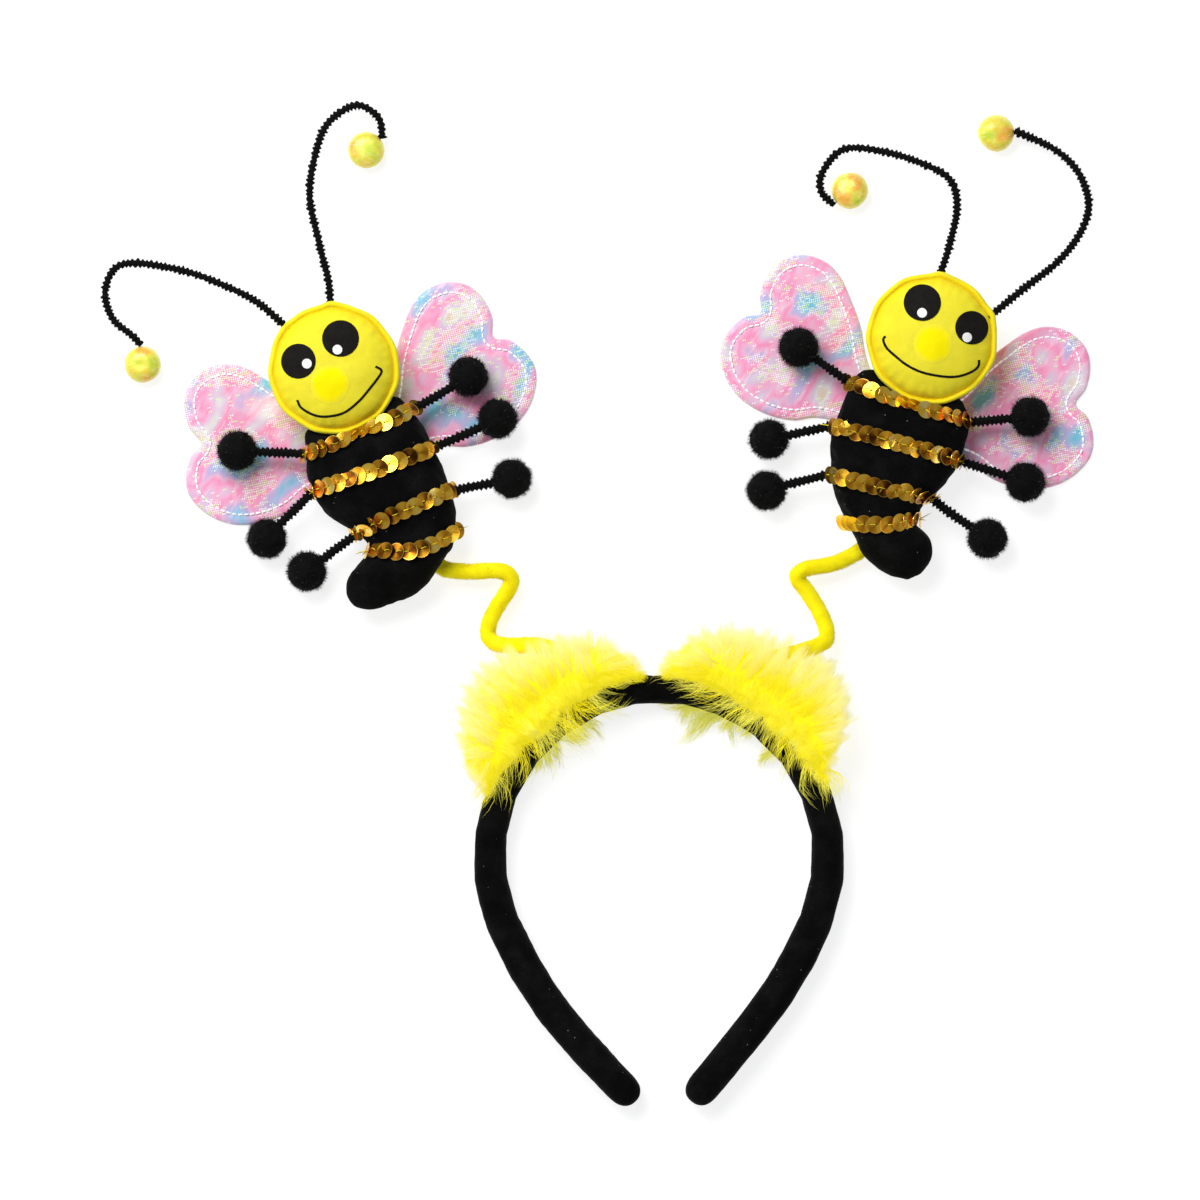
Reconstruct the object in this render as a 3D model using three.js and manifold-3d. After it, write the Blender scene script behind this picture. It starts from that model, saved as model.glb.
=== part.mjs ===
// Bee antenna headband: a padded velvet hoop with two feather tufts, and on each a bent stem that
// carries a stuffed bee with a felt head, sequin stripes, quilted wings, and chenille legs and feelers.
//
// Frame, in millimetres: +Z up. The headband lies on its edge on a flat surface at z = 0, with the
// bees on their backs beside it. The origin is on that surface under the middle of the crown, +Y
// points from the crown towards the bees and -Y to the hoop's open end.
import * as THREE from "three";
import { mergeVertices } from "three/addons/utils/BufferGeometryUtils.js";
import Module from "manifold-3d";

// Clearance between pieces that touch.
const gap = 0.3;

// Headband: an arc over the crown that ends just past the widest line, then flatter arcs that close
// in, then straight ends that stop together at a level below the widest line.
const crownRadius = 64.1;
const crownCloseDeg = 22;
const sideRadius = 152;
const sideSweepDeg = { left: 43.5, right: 39 };
const endDrop = 92.5;
const bandDepth = 10.4;
const sideDepth = 12;
const bandWidth = 13;
const bandRoundness = 2.7;
const bandSides = 12;
const crownSteps = 15;
const sideSteps = 3;

// Feather tufts, glued along the band's outer side between two angles from the crown.
const tuftStartDeg = 7;
const tuftEndDeg = 61;
const tuftReach = 26;
const fluffReach = 17;
const fluffHeight = 20;
const fluffSides = 7;
const lockRadius = 6.6;
const lockSides = 4;

// Bent stems, from the band inside the tufts to the backs of the bees.
const stemDiameter = 7;
const stemAngleDeg = 24;
const stemSides = 8;
const stemSteps = 20;
const stemHeight = 8;
const stemSeatHeight = 4.4;
const stemSink = 5;

// Bee body, a stuffed cushion seen from the front, with its waist at the bee's own origin.
const bodyLength = 76;
const bodyWidth = 51;
const bodyAboveWaist = 25;
const bodyFront = 12.5;
const bodyBack = 8.5;
const bodyFullness = 2.3;
const bodySides = 12;

// Bee head: two felt discs sewn together inside a flat rim.
const headDiameter = 50;
const headRise = 41;
const headOffset = -1.7;
const headHeight = 17;
const rimWidth = 3.4;
const rimThickness = 3;
const faceBulge = 9;
const napeBulge = 7.5;
const headSides = 20;

// Face pieces.
const eyeDiameter = 13.6;
const eyeThickness = 0.8;
const eyeSides = 10;
const mouthThickness = 0.9;
const mouthSides = 5;
const mouthSteps = 9;

// Sequin stripes.
const sequinDiameter = 6.2;
const sequinCup = 1.2;
const sequinPitch = 4.15;
const sequinLean = 1.5;
const sequinSides = 10;
const sequinLift = 0.35;

// Wings: quilted hearts whose points meet under the body.
const wingLength = 60;
const wingSpan = 60;
const wingThickness = 2.2;
const wingTurnDeg = 26.8;
const wingPointAcross = 1.2;

// Chenille wires, with a pompom on each leg and a padded foil disc on each feeler.
const wireDiameter = 3.3;
const wireSides = 6;
const legReach = 25;
const legSteps = 2;
const pompomDiameter = 15.4;
const feelerReach = 70;
const feelerSteps = 13;
const tipDiameter = 14.2;
const tipThickness = 9;
const tipSides = 10;

// The tuft's crest from the crown outwards: share is of its sweep, size of fluffReach and fluffHeight.
const crestStations = [
  { share: 0, size: 0.35 },
  { share: 0.12, size: 0.75 },
  { share: 0.35, size: 0.98 },
  { share: 0.65, size: 1 },
  { share: 0.88, size: 0.8 },
  { share: 1, size: 0.4 },
];

// Rows of locks along the crest, and the locks of one row from the surface up and over the band.
const lockRows = [
  { share: 0.05, reach: 0.56, leanDeg: -6 },
  { share: 0.2, reach: 0.74, leanDeg: -8 },
  { share: 0.35, reach: 0.9, leanDeg: -6 },
  { share: 0.5, reach: 1.04, leanDeg: 0 },
  { share: 0.65, reach: 1.04, leanDeg: 6 },
  { share: 0.8, reach: 0.95, leanDeg: 14 },
  { share: 0.95, reach: 0.8, leanDeg: 24 },
];
const lockFan = [
  { riseDeg: 2, reach: 1, radius: 1, rootUp: 0.36 },
  { riseDeg: 34, reach: 1, radius: 1, rootUp: 0.5 },
  { riseDeg: 72, reach: 0.8, radius: 1, rootUp: 0.55 },
  { riseDeg: 146, reach: 0.82, radius: 0.7, rootUp: 0.74 },
];

// Body sections from the shoulders to the tail, on the tail's side (outer) and the other (inner).
// along is a share of bodyLength, outer and inner of half bodyWidth, swell of the stuffing's depth.
const bodySections = {
  left: [
    { along: 0.0, outer: 0.6, inner: 0.55, swell: 0.14 },
    { along: 0.033, outer: 0.82, inner: 0.76, swell: 0.5 },
    { along: 0.132, outer: 0.9, inner: 0.87, swell: 0.85 },
    { along: 0.237, outer: 1.0, inner: 0.945, swell: 0.98 },
    { along: 0.342, outer: 1.01, inner: 0.96, swell: 1 },
    { along: 0.447, outer: 0.93, inner: 0.98, swell: 1 },
    { along: 0.553, outer: 0.71, inner: 0.97, swell: 0.95 },
    { along: 0.645, outer: 0.525, inner: 0.95, swell: 0.87 },
    { along: 0.697, outer: 0.47, inner: 0.89, swell: 0.82 },
    { along: 0.757, outer: 0.69, inner: 0.81, swell: 0.8 },
    { along: 0.829, outer: 0.96, inner: 0.69, swell: 0.78 },
    { along: 0.895, outer: 1.03, inner: 0.455, swell: 0.68 },
    { along: 0.954, outer: 0.965, inner: 0.18, swell: 0.48 },
    { along: 0.997, outer: 0.75, inner: -0.08, swell: 0.12 },
  ],
  right: [
    { along: 0.0, outer: 0.65, inner: 0.65, swell: 0.14 },
    { along: 0.033, outer: 0.85, inner: 0.87, swell: 0.5 },
    { along: 0.132, outer: 0.965, inner: 0.955, swell: 0.85 },
    { along: 0.237, outer: 1.0, inner: 0.99, swell: 0.98 },
    { along: 0.342, outer: 0.99, inner: 1.01, swell: 1 },
    { along: 0.447, outer: 0.87, inner: 0.945, swell: 1 },
    { along: 0.553, outer: 0.69, inner: 0.86, swell: 0.95 },
    { along: 0.645, outer: 0.605, inner: 0.72, swell: 0.86 },
    { along: 0.697, outer: 0.63, inner: 0.62, swell: 0.8 },
    { along: 0.757, outer: 0.885, inner: 0.46, swell: 0.78 },
    { along: 0.829, outer: 0.965, inner: 0.26, swell: 0.74 },
    { along: 0.895, outer: 0.895, inner: 0.08, swell: 0.62 },
    { along: 0.94, outer: 0.79, inner: -0.15, swell: 0.4 },
    { along: 0.966, outer: 0.66, inner: -0.4, swell: 0.12 },
  ],
};

// Stripes: where each crosses the outer edge, the middle and the inner edge, as shares of bodyLength.
const stripes = {
  left: [
    { outer: 0.146, middle: 0.143, inner: 0.114 },
    { outer: 0.328, middle: 0.338, inner: 0.326 },
    { outer: 0.599, middle: 0.574, inner: 0.561 },
    { outer: 0.705, middle: 0.783, inner: 0.757 },
  ],
  right: [
    { outer: 0.117, middle: 0.123, inner: 0.094 },
    { outer: 0.316, middle: 0.32, inner: 0.325 },
    { outer: 0.533, middle: 0.555, inner: 0.559 },
    { outer: 0.654, middle: 0.732, inner: 0.768 },
  ],
};

// Faces: places as shares of the head's radius, turned a little from the body's axis already.
const faces = {
  left: {
    eyes: [
      { name: "eye_outer", across: -0.462, up: 0.282, size: 0.98 },
      { name: "eye_inner", across: 0.258, up: 0.39, size: 1.03 },
    ],
    mouth: [
      { across: -0.68, up: -0.262 },
      { across: -0.665, up: -0.39 },
      { across: -0.53, up: -0.556 },
      { across: -0.352, up: -0.652 },
      { across: -0.088, up: -0.686 },
      { across: 0.182, up: -0.604 },
      { across: 0.428, up: -0.468 },
      { across: 0.634, up: -0.332 },
      { across: 0.672, up: -0.268 },
      { across: 0.61, up: -0.19 },
    ],
  },
  right: {
    eyes: [
      { name: "eye_outer", across: -0.532, up: 0.32, size: 0.94 },
      { name: "eye_inner", across: 0.296, up: 0.48, size: 1.04 },
    ],
    mouth: [
      { across: -0.772, up: -0.118 },
      { across: -0.79, up: -0.216 },
      { across: -0.7, up: -0.336 },
      { across: -0.524, up: -0.452 },
      { across: -0.308, up: -0.512 },
      { across: 0.004, up: -0.54 },
      { across: 0.252, up: -0.5 },
      { across: 0.464, up: -0.416 },
      { across: 0.632, up: -0.324 },
      { across: 0.712, up: -0.22 },
      { across: 0.692, up: -0.168 },
    ],
  },
};

// The wing's heart round its upper lobe, the notch and the lower lobe, without its point.
// along is a share of wingLength, across of half wingSpan.
const wingOutline = [
  { along: 0.17, across: 0.47 },
  { along: 0.34, across: 0.72 },
  { along: 0.52, across: 0.91 },
  { along: 0.67, across: 1.03 },
  { along: 0.8, across: 1.04 },
  { along: 0.93, across: 0.92 },
  { along: 1.01, across: 0.7 },
  { along: 1.02, across: 0.45 },
  { along: 0.97, across: 0.18 },
  { along: 0.885, across: 0.0 },
  { along: 0.94, across: -0.17 },
  { along: 0.955, across: -0.4 },
  { along: 0.93, across: -0.63 },
  { along: 0.85, across: -0.81 },
  { along: 0.72, across: -0.94 },
  { along: 0.57, across: -0.97 },
  { along: 0.4, across: -0.88 },
  { along: 0.26, across: -0.71 },
  { along: 0.13, across: -0.44 },
];

// Where each wing's axis starts under the body: side -1 is the outer one, across and up from the
// waist. The point itself runs on from there to wingPointAcross.
const wingRoots = {
  left: [
    { name: "wing_outer", side: -1, across: 12, up: 8 },
    { name: "wing_inner", side: 1, across: 12, up: 8 },
  ],
  right: [
    { name: "wing_outer", side: -1, across: 14.4, up: 10.1 },
    { name: "wing_inner", side: 1, across: 16.2, up: 10.5 },
  ],
};

// Legs: the stripe each grows from, its side, its reach as a share of legReach, and its slope.
// A pompom over a wing rests on it, and the others rest on the surface.
const legs = {
  left: [
    { name: "outer_1", stripe: 0, side: -1, reach: 1.04, slopeDeg: 24, overWing: true },
    { name: "outer_2", stripe: 1, side: -1, reach: 0.99, slopeDeg: -26, overWing: false },
    { name: "outer_3", stripe: 2, side: -1, reach: 0.93, slopeDeg: -18, overWing: false },
    { name: "inner_1", stripe: 0, side: 1, reach: 0.96, slopeDeg: 11, overWing: true },
    { name: "inner_2", stripe: 1, side: 1, reach: 1.03, slopeDeg: 4, overWing: true },
    { name: "inner_3", stripe: 2, side: 1, reach: 0.92, slopeDeg: -9, overWing: false },
  ],
  right: [
    { name: "outer_1", stripe: 0, side: -1, reach: 0.93, slopeDeg: 21, overWing: true },
    { name: "outer_2", stripe: 1, side: -1, reach: 1.03, slopeDeg: -2, overWing: true },
    { name: "outer_3", stripe: 2, side: -1, reach: 1.05, slopeDeg: -20, overWing: false },
    { name: "inner_1", stripe: 0, side: 1, reach: 0.95, slopeDeg: 19, overWing: true },
    { name: "inner_2", stripe: 1, side: 1, reach: 0.97, slopeDeg: -28, overWing: false },
    { name: "inner_3", stripe: 2, side: 1, reach: 0.98, slopeDeg: -31, overWing: false },
  ],
};

// Feelers: where on the rim each starts, its bends as shares of feelerReach from there, and the way
// from its end to the middle of its foil disc.
const feelers = {
  left: [
    {
      name: "outer",
      rimDeg: -29,
      tipDeg: 253,
      bends: [
        { across: -0.08, up: 0.151 },
        { across: -0.238, up: 0.32 },
        { across: -0.424, up: 0.474 },
        { across: -0.617, up: 0.579 },
        { across: -0.754, up: 0.6 },
        { across: -0.85, up: 0.496 },
        { across: -0.863, up: 0.35 },
        { across: -0.79, up: 0.223 },
        { across: -0.757, up: 0.179 },
      ],
    },
    {
      name: "inner",
      rimDeg: 16.6,
      tipDeg: 196,
      bends: [
        { across: 0.031, up: 0.11 },
        { across: 0.05, up: 0.304 },
        { across: 0.097, up: 0.576 },
        { across: 0.187, up: 0.774 },
        { across: 0.324, up: 0.916 },
        { across: 0.494, up: 0.951 },
        { across: 0.584, up: 0.85 },
        { across: 0.587, up: 0.744 },
      ],
    },
  ],
  right: [
    {
      name: "outer",
      rimDeg: -51,
      tipDeg: -24,
      bends: [
        { across: -0.153, up: 0.213 },
        { across: -0.29, up: 0.423 },
        { across: -0.339, up: 0.611 },
        { across: -0.316, up: 0.746 },
        { across: -0.219, up: 0.87 },
        { across: -0.054, up: 0.953 },
        { across: 0.146, up: 0.993 },
      ],
    },
    {
      name: "inner",
      rimDeg: 8.8,
      tipDeg: 120,
      bends: [
        { across: -0.006, up: 0.154 },
        { across: 0.005, up: 0.349 },
        { across: 0.078, up: 0.486 },
        { across: 0.234, up: 0.537 },
        { across: 0.489, up: 0.543 },
        { across: 0.685, up: 0.49 },
        { across: 0.765, up: 0.351 },
        { across: 0.742, up: 0.25 },
        { across: 0.655, up: 0.181 },
      ],
    },
  ],
};

// Stems: bends from the band outwards and upwards, as shares of each stem's own reach and rise, and
// lift, its height above the surface as a share of stemHeight.
const stems = {
  left: {
    reach: 56.6,
    rise: 47.9,
    bends: [
      { out: 0.055, up: 0.136, lift: 1.15 },
      { out: 0.168, up: 0.286, lift: 1.5 },
      { out: 0.302, up: 0.349, lift: 1.8 },
      { out: 0.47, up: 0.349, lift: 1.5 },
      { out: 0.592, up: 0.365, lift: 1.1 },
      { out: 0.645, up: 0.445, lift: 0.85 },
      { out: 0.618, up: 0.587, lift: 0.7 },
      { out: 0.544, up: 0.729, lift: 0.7 },
      { out: 0.491, up: 0.833, lift: 0.8 },
      { out: 0.504, up: 0.912, lift: 0.95 },
      { out: 0.592, up: 0.944, lift: 1 },
      { out: 0.772, up: 0.935, lift: 0.8 },
      { out: 0.92, up: 0.952, lift: 0.62 },
    ],
  },
  right: {
    reach: 49,
    rise: 53.4,
    bends: [
      { out: 0.045, up: 0.105, lift: 1.15 },
      { out: 0.171, up: 0.185, lift: 1.5 },
      { out: 0.404, up: 0.242, lift: 1.8 },
      { out: 0.637, up: 0.305, lift: 1.3 },
      { out: 0.722, up: 0.376, lift: 0.95 },
      { out: 0.667, up: 0.547, lift: 0.7 },
      { out: 0.559, up: 0.704, lift: 0.7 },
      { out: 0.49, up: 0.79, lift: 0.8 },
      { out: 0.543, up: 0.854, lift: 0.95 },
      { out: 0.753, up: 0.89, lift: 0.85 },
      { out: 0.908, up: 0.946, lift: 0.65 },
    ],
  },
};

// The bees. side is 1 on the left and -1 on the right, where everything is turned over. leanDeg is
// the outward lean, headLift how much higher the head sits, and the stem meets the back at
// seatAcross, seatUp from the waist.
const bees = [
  { name: "left", side: 1, leanDeg: 20, headLift: 0, seatAcross: 9, seatUp: -41.5 },
  { name: "right", side: -1, leanDeg: 16, headLift: 1.5, seatAcross: 1.3, seatUp: -41.2 },
];

const blackVelvet = new THREE.MeshStandardMaterial({ color: "#0d0d0f", roughness: 0.95, metalness: 0 });
const yellowFeather = new THREE.MeshStandardMaterial({ color: "#f7ee2e", roughness: 0.9, metalness: 0 });
const yellowPlush = new THREE.MeshStandardMaterial({ color: "#f6e400", roughness: 0.9, metalness: 0 });
const yellowFelt = new THREE.MeshStandardMaterial({ color: "#f2e419", roughness: 0.95, metalness: 0 });
const blackPrint = new THREE.MeshStandardMaterial({ color: "#181612", roughness: 0.45, metalness: 0 });
const goldFoil = new THREE.MeshStandardMaterial({ color: "#c98a1c", roughness: 0.22, metalness: 1 });
const yellowFoil = new THREE.MeshStandardMaterial({ color: "#e6dc4e", roughness: 0.3, metalness: 0.4 });
const pearlFabric = new THREE.MeshStandardMaterial({ color: "#eec6dc", roughness: 0.35, metalness: 0.2 });
const blackChenille = new THREE.MeshStandardMaterial({ color: "#0b0b0b", roughness: 1, metalness: 0 });

const wasm = await Module();
wasm.setup();

const radians = THREE.MathUtils.degToRad;
const point = (x, y, z) => new THREE.Vector3(x, y, z);

// Between two neighbouring rows of a table, by the value in one column.
function rowAt(rows, key, value) {
  const next = Math.max(1, rows.findIndex((row) => row[key] >= value));
  const after = value > rows.at(-1)[key] ? rows.at(-1) : rows[next];
  const before = value > rows.at(-1)[key] ? rows.at(-1) : rows[next - 1];
  const spread = after[key] - before[key];
  const share = spread > 0 ? THREE.MathUtils.clamp((value - before[key]) / spread, 0, 1) : 0;
  const mixed = {};
  for (const column of Object.keys(before)) {
    mixed[column] = THREE.MathUtils.lerp(before[column], after[column], share);
  }
  return mixed;
}

// A closed geometry of the given corners and triangles, turned to face outwards.
function closedGeometry(corners, triangles) {
  let volume = 0;
  for (const [a, b, c] of triangles) {
    volume += corners[a].dot(corners[b].clone().cross(corners[c]));
  }
  const facing = volume < 0 ? triangles.map(([a, b, c]) => [a, c, b]) : triangles;
  const geometry = new THREE.BufferGeometry();
  const flat = corners.flatMap((corner) => [corner.x, corner.y, corner.z]);
  geometry.setAttribute("position", new THREE.Float32BufferAttribute(flat, 3));
  geometry.setIndex(facing.flat());
  return geometry;
}

// A closed skin over rings that all have as many points, with each end drawn to its middle, or to
// the poles given.
function loft(rings, poles = []) {
  const count = rings[0].length;
  const middle = (ring) => ring.reduce((sum, p) => sum.add(p), point(0, 0, 0)).divideScalar(count);
  const ends = [poles[0] ?? middle(rings[0]), poles[1] ?? middle(rings.at(-1))];
  const corners = [...rings.flat(), ...ends];
  const firstPole = corners.length - 2;
  const lastPole = corners.length - 1;
  const lastRing = (rings.length - 1) * count;
  const triangles = [];
  for (let i = 0; i < count; i++) {
    const j = (i + 1) % count;
    triangles.push([firstPole, j, i], [lastPole, lastRing + i, lastRing + j]);
    for (let start = 0; start < lastRing; start += count) {
      triangles.push([start + i, start + j, start + count + j]);
      triangles.push([start + i, start + count + j, start + count + i]);
    }
  }
  return closedGeometry(corners, triangles);
}

// A regular outline for a tube or disc.
function roundShape(radius, sides) {
  const corners = Array.from({ length: sides }, (_, i) => {
    const angle = (2 * Math.PI * (i + 0.5)) / sides;
    return new THREE.Vector2(radius * Math.cos(angle), radius * Math.sin(angle));
  });
  return new THREE.Shape(corners);
}

function tube(points, radius, sides, steps) {
  const path = new THREE.CatmullRomCurve3(points, false, "centripetal");
  const options = { steps, bevelEnabled: false, extrudePath: path, curveSegments: 1 };
  return new THREE.ExtrudeGeometry(roundShape(radius, sides), options);
}

function toSolid(geometry) {
  const bare = geometry.clone();
  bare.deleteAttribute("normal");
  bare.deleteAttribute("uv");
  const merged = mergeVertices(bare, 1e-4);
  const vertProperties = merged.attributes.position.array;
  const triVerts = new Uint32Array(merged.index.array);
  return new wasm.Manifold(new wasm.Mesh({ numProp: 3, vertProperties, triVerts }));
}

function toGeometry(solid) {
  const mesh = solid.getMesh();
  const geometry = new THREE.BufferGeometry();
  geometry.setAttribute("position", new THREE.Float32BufferAttribute(mesh.vertProperties, 3));
  geometry.setIndex(Array.from(mesh.triVerts));
  return geometry;
}

// Joins solids, cuts others away, and keeps the piece that holds together.
function joinAndCut(joined, cutters) {
  let solid = toSolid(joined[0]);
  for (const geometry of joined.slice(1)) solid = solid.add(toSolid(geometry));
  for (const cutter of cutters) solid = solid.subtract(toSolid(cutter));
  const pieces = solid.decompose().sort((a, b) => b.volume() - a.volume());
  return toGeometry(pieces[0]);
}

function piece(name, geometry, material) {
  const mesh = new THREE.Mesh(geometry, material);
  mesh.name = name;
  return mesh;
}

// A place on the band's middle line: side is -1 on the left, angle is from the crown. out points
// away from the hoop's inside.
function crownPlace(side, angle) {
  const out = point(side * Math.sin(angle), Math.cos(angle), 0);
  const centre = point(0, -crownRadius, 0);
  // The padding is fuller towards the sides than over the crown.
  const share = Math.min(Math.abs(angle) / (Math.PI / 2), 1) ** 2;
  const depth = THREE.MathUtils.lerp(bandDepth, sideDepth, share);
  return { at: centre.addScaledVector(out, crownRadius), out, depth };
}

// One side of the band past the crown's arc, to its end.
function sideStations(side, sweepDeg) {
  const start = radians(crownCloseDeg);
  const sweep = radians(sweepDeg);
  const crownEnd = crownPlace(side, Math.PI / 2 + start);
  const centre = crownEnd.at.clone().addScaledVector(crownEnd.out, -sideRadius);
  const stations = [];
  for (let i = 1; i <= sideSteps; i++) {
    const turn = start + ((sweep - start) * i) / sideSteps;
    const out = point(side * Math.cos(turn), -Math.sin(turn), 0);
    stations.push({ at: centre.clone().addScaledVector(out, sideRadius), out });
  }
  const { at, out } = stations.at(-1);
  const along = point(-side * Math.sin(sweep), -Math.cos(sweep), 0);
  const endRun = (at.y + crownRadius + endDrop) / Math.cos(sweep);
  // The padded end rounds off over half the band's depth.
  const ends = [
    { turn: 0, size: 1 },
    { turn: 0.55, size: 0.84 },
    { turn: 0.9, size: 0.46 },
  ];
  for (const { turn, size } of ends) {
    const run = endRun - ((1 - turn) * sideDepth) / 2;
    stations.push({ at: at.clone().addScaledVector(along, run), out, size });
  }
  return stations;
}

// The band's section: a padded oval with its lower edge pressed flat.
function bandRing({ at, out, depth = sideDepth, size = 1 }, grow = 0) {
  const ring = [];
  for (let i = 0; i < bandSides; i++) {
    const angle = (2 * Math.PI * (i + 0.5)) / bandSides;
    const soften = (value) => Math.sign(value) * Math.abs(value) ** (2 / bandRoundness);
    const across = (depth / 2 + grow) * size * soften(Math.cos(angle));
    const lowest = Math.PI * (0.5 - 0.5 / (bandSides / 2));
    const flat = soften(Math.sin(lowest));
    const height = (bandWidth / 2 + grow) * size * (soften(Math.sin(angle)) / flat);
    const corner = at.clone().addScaledVector(out, across);
    corner.z = bandWidth / 2 + height;
    ring.push(corner);
  }
  return ring;
}

function headband() {
  const crownSweep = Math.PI + 2 * radians(crownCloseDeg);
  const crown = [];
  for (let i = 0; i <= crownSteps; i++) {
    crown.push(crownPlace(1, crownSweep * (i / crownSteps - 0.5)));
  }
  const leftSide = sideStations(-1, sideSweepDeg.left).reverse();
  const stations = [...leftSide, ...crown, ...sideStations(1, sideSweepDeg.right)];
  return piece("headband", loft(stations.map((station) => bandRing(station))), blackVelvet);
}

// A bee's stem in the headband's frame: side is 1 for the left bee.
function stemPoints(bee) {
  const { reach, rise, bends } = stems[bee.name];
  const outwards = -bee.side;
  const { at, out, depth } = crownPlace(outwards, radians(stemAngleDeg));
  const root = at.clone().addScaledVector(out, depth / 2 + gap);
  root.z = stemHeight;
  const corner = ({ out: share, up, lift }) =>
    point(root.x + outwards * share * reach, root.y + up * rise, lift * stemHeight);
  // The stem's square end stands off by as much as it leans from the band's side.
  const lean = corner(bends[0]).sub(root).angleTo(out);
  root.addScaledVector(out, (stemDiameter / 2) * Math.sin(lean));
  const end = point(root.x + outwards * reach, root.y + rise, stemSeatHeight);
  const before = corner(bends.at(-1));
  const sunk = end.clone().addScaledVector(end.clone().sub(before).setZ(0).normalize(), stemSink);
  return { points: [root, ...bends.map(corner), end, sunk], end };
}

function stemGeometry(bee, grow = 0) {
  const { points } = stemPoints(bee);
  const first = points[0].clone().addScaledVector(points[1].clone().sub(points[0]).normalize(), -grow);
  const ahead = points.at(-1).clone().sub(points.at(-2)).normalize();
  const last = points.at(-1).clone().addScaledVector(ahead, grow);
  const route = [first, ...points.slice(1, -1), last];
  return tube(route, stemDiameter / 2 + grow, stemSides, stemSteps);
}

// One feather lock: a cone from a root, along a direction.
function lock(root, direction, radius, length) {
  const cone = new THREE.ConeGeometry(radius, length, lockSides, 1);
  cone.translate(0, length / 2, 0);
  cone.applyQuaternion(new THREE.Quaternion().setFromUnitVectors(point(0, 1, 0), direction));
  cone.translate(root.x, root.y, root.z);
  return cone;
}

// A tuft: a padded crest along the band's outer side, and locks that fan out from it in rows.
function featherTuft(bee) {
  const side = -bee.side;
  const inside = bandDepth / 2 + gap;
  const start = radians(tuftStartDeg);
  const spread = radians(tuftEndDeg - tuftStartDeg);
  const crestRing = ({ share, size }) => {
    const { at, out } = crownPlace(side, start + spread * share);
    const ring = [];
    for (let i = 0; i < fluffSides; i++) {
      const angle = (2 * Math.PI * (i + 0.5)) / fluffSides;
      const depth = inside + (size * fluffReach * (1 + Math.cos(angle))) / 2;
      const corner = at.clone().addScaledVector(out, depth);
      corner.z = gap + (fluffHeight * (1 + size * Math.sin(angle))) / 2;
      ring.push(corner);
    }
    return ring;
  };
  const joined = [loft(crestStations.map(crestRing))];
  lockRows.forEach(({ share, reach, leanDeg }, row) => {
    const { at, out } = crownPlace(side, start + spread * share);
    const along = point(side * out.y, -side * out.x, 0);
    lockFan.forEach(({ riseDeg, reach: fanReach, radius, rootUp }, blade) => {
      const rise = radians(riseDeg);
      const lean = radians(leanDeg) + 0.14 * Math.sin(5 * row + 3 * blade);
      const direction = out.clone().multiplyScalar(Math.cos(rise));
      direction.addScaledVector(along, Math.sin(lean)).setZ(Math.sin(rise)).normalize();
      const root = at.clone().addScaledVector(out, inside + 0.2 * fluffReach);
      root.z = rootUp * fluffHeight;
      const length = tuftReach * reach * fanReach;
      joined.push(lock(root, direction, lockRadius * radius, length));
    });
  });
  const bandCutter = [];
  for (let i = -2; i <= 8; i++) {
    bandCutter.push(bandRing(crownPlace(side, start + (spread * i) / 6), gap));
  }
  const geometry = joinAndCut(joined, [loft(bandCutter), stemGeometry(bee, gap)]);
  return piece(`${bee.name}_feather_tuft`, geometry, yellowFeather);
}

// The bee's pieces are made in its own frame: x across towards the middle of the headband on the
// left bee, y up its body, and the waist at the origin. across turns over on the right bee.
const seamHeight = wingThickness + gap + bodyBack;

// The body's half section at a height above the waist.
function bodySection(bee, up) {
  const row = rowAt(bodySections[bee.name], "along", (bodyAboveWaist - up) / bodyLength);
  const outer = (-row.outer * bodyWidth) / 2;
  const inner = (row.inner * bodyWidth) / 2;
  return { middle: (outer + inner) / 2, half: (inner - outer) / 2, swell: row.swell, outer, inner };
}

function bodyRing(bee, up) {
  const { middle, half, swell } = bodySection(bee, up);
  const ring = [];
  for (let i = 0; i < bodySides; i++) {
    const angle = (2 * Math.PI * i) / bodySides;
    const soften = (value) => Math.sign(value) * Math.abs(value) ** (2 / bodyFullness);
    const depth = Math.sin(angle) > 0 ? bodyFront : bodyBack;
    const across = middle + half * soften(Math.cos(angle));
    const height = seamHeight + depth * swell * soften(Math.sin(angle));
    ring.push(point(bee.side * across, up, height));
  }
  return ring;
}

// The body's front surface at a place, and the way it faces.
function bodyFrontAt(bee, across, up) {
  const heightAt = (x, y) => {
    const { middle, half, swell } = bodySection(bee, y);
    const share = Math.min(Math.abs(x - middle) / half, 1);
    return seamHeight + bodyFront * swell * (1 - share ** bodyFullness) ** (1 / bodyFullness);
  };
  const step = 0.5;
  const slopeX = (heightAt(across + step, up) - heightAt(across - step, up)) / (2 * step);
  const slopeY = (heightAt(across, up + step) - heightAt(across, up - step)) / (2 * step);
  const facing = point(-slopeX, -slopeY, 1).normalize();
  return { at: point(across, up, heightAt(across, up)), facing };
}

function headCentre(bee) {
  return point(bee.side * headOffset, headRise + bee.headLift, headHeight);
}

// What the head needs clear in the body: its back, and everything in front of its rim.
function headCutter(bee) {
  const radius = headDiameter / 2 + gap;
  const under = -rimThickness / 2 - gap;
  const profile = [
    [0, under - napeBulge],
    [0.45 * radius, under - 0.86 * napeBulge],
    [0.75 * radius, under - 0.5 * napeBulge],
    [radius - rimWidth + gap, under],
    [radius, under],
    [radius, headDiameter],
    [0, headDiameter],
  ];
  const points = profile.map(([across, up]) => new THREE.Vector2(across, up));
  const cutter = new THREE.LatheGeometry(points, headSides);
  cutter.rotateX(Math.PI / 2);
  const centre = headCentre(bee);
  return cutter.translate(centre.x, centre.y, centre.z);
}

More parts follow.
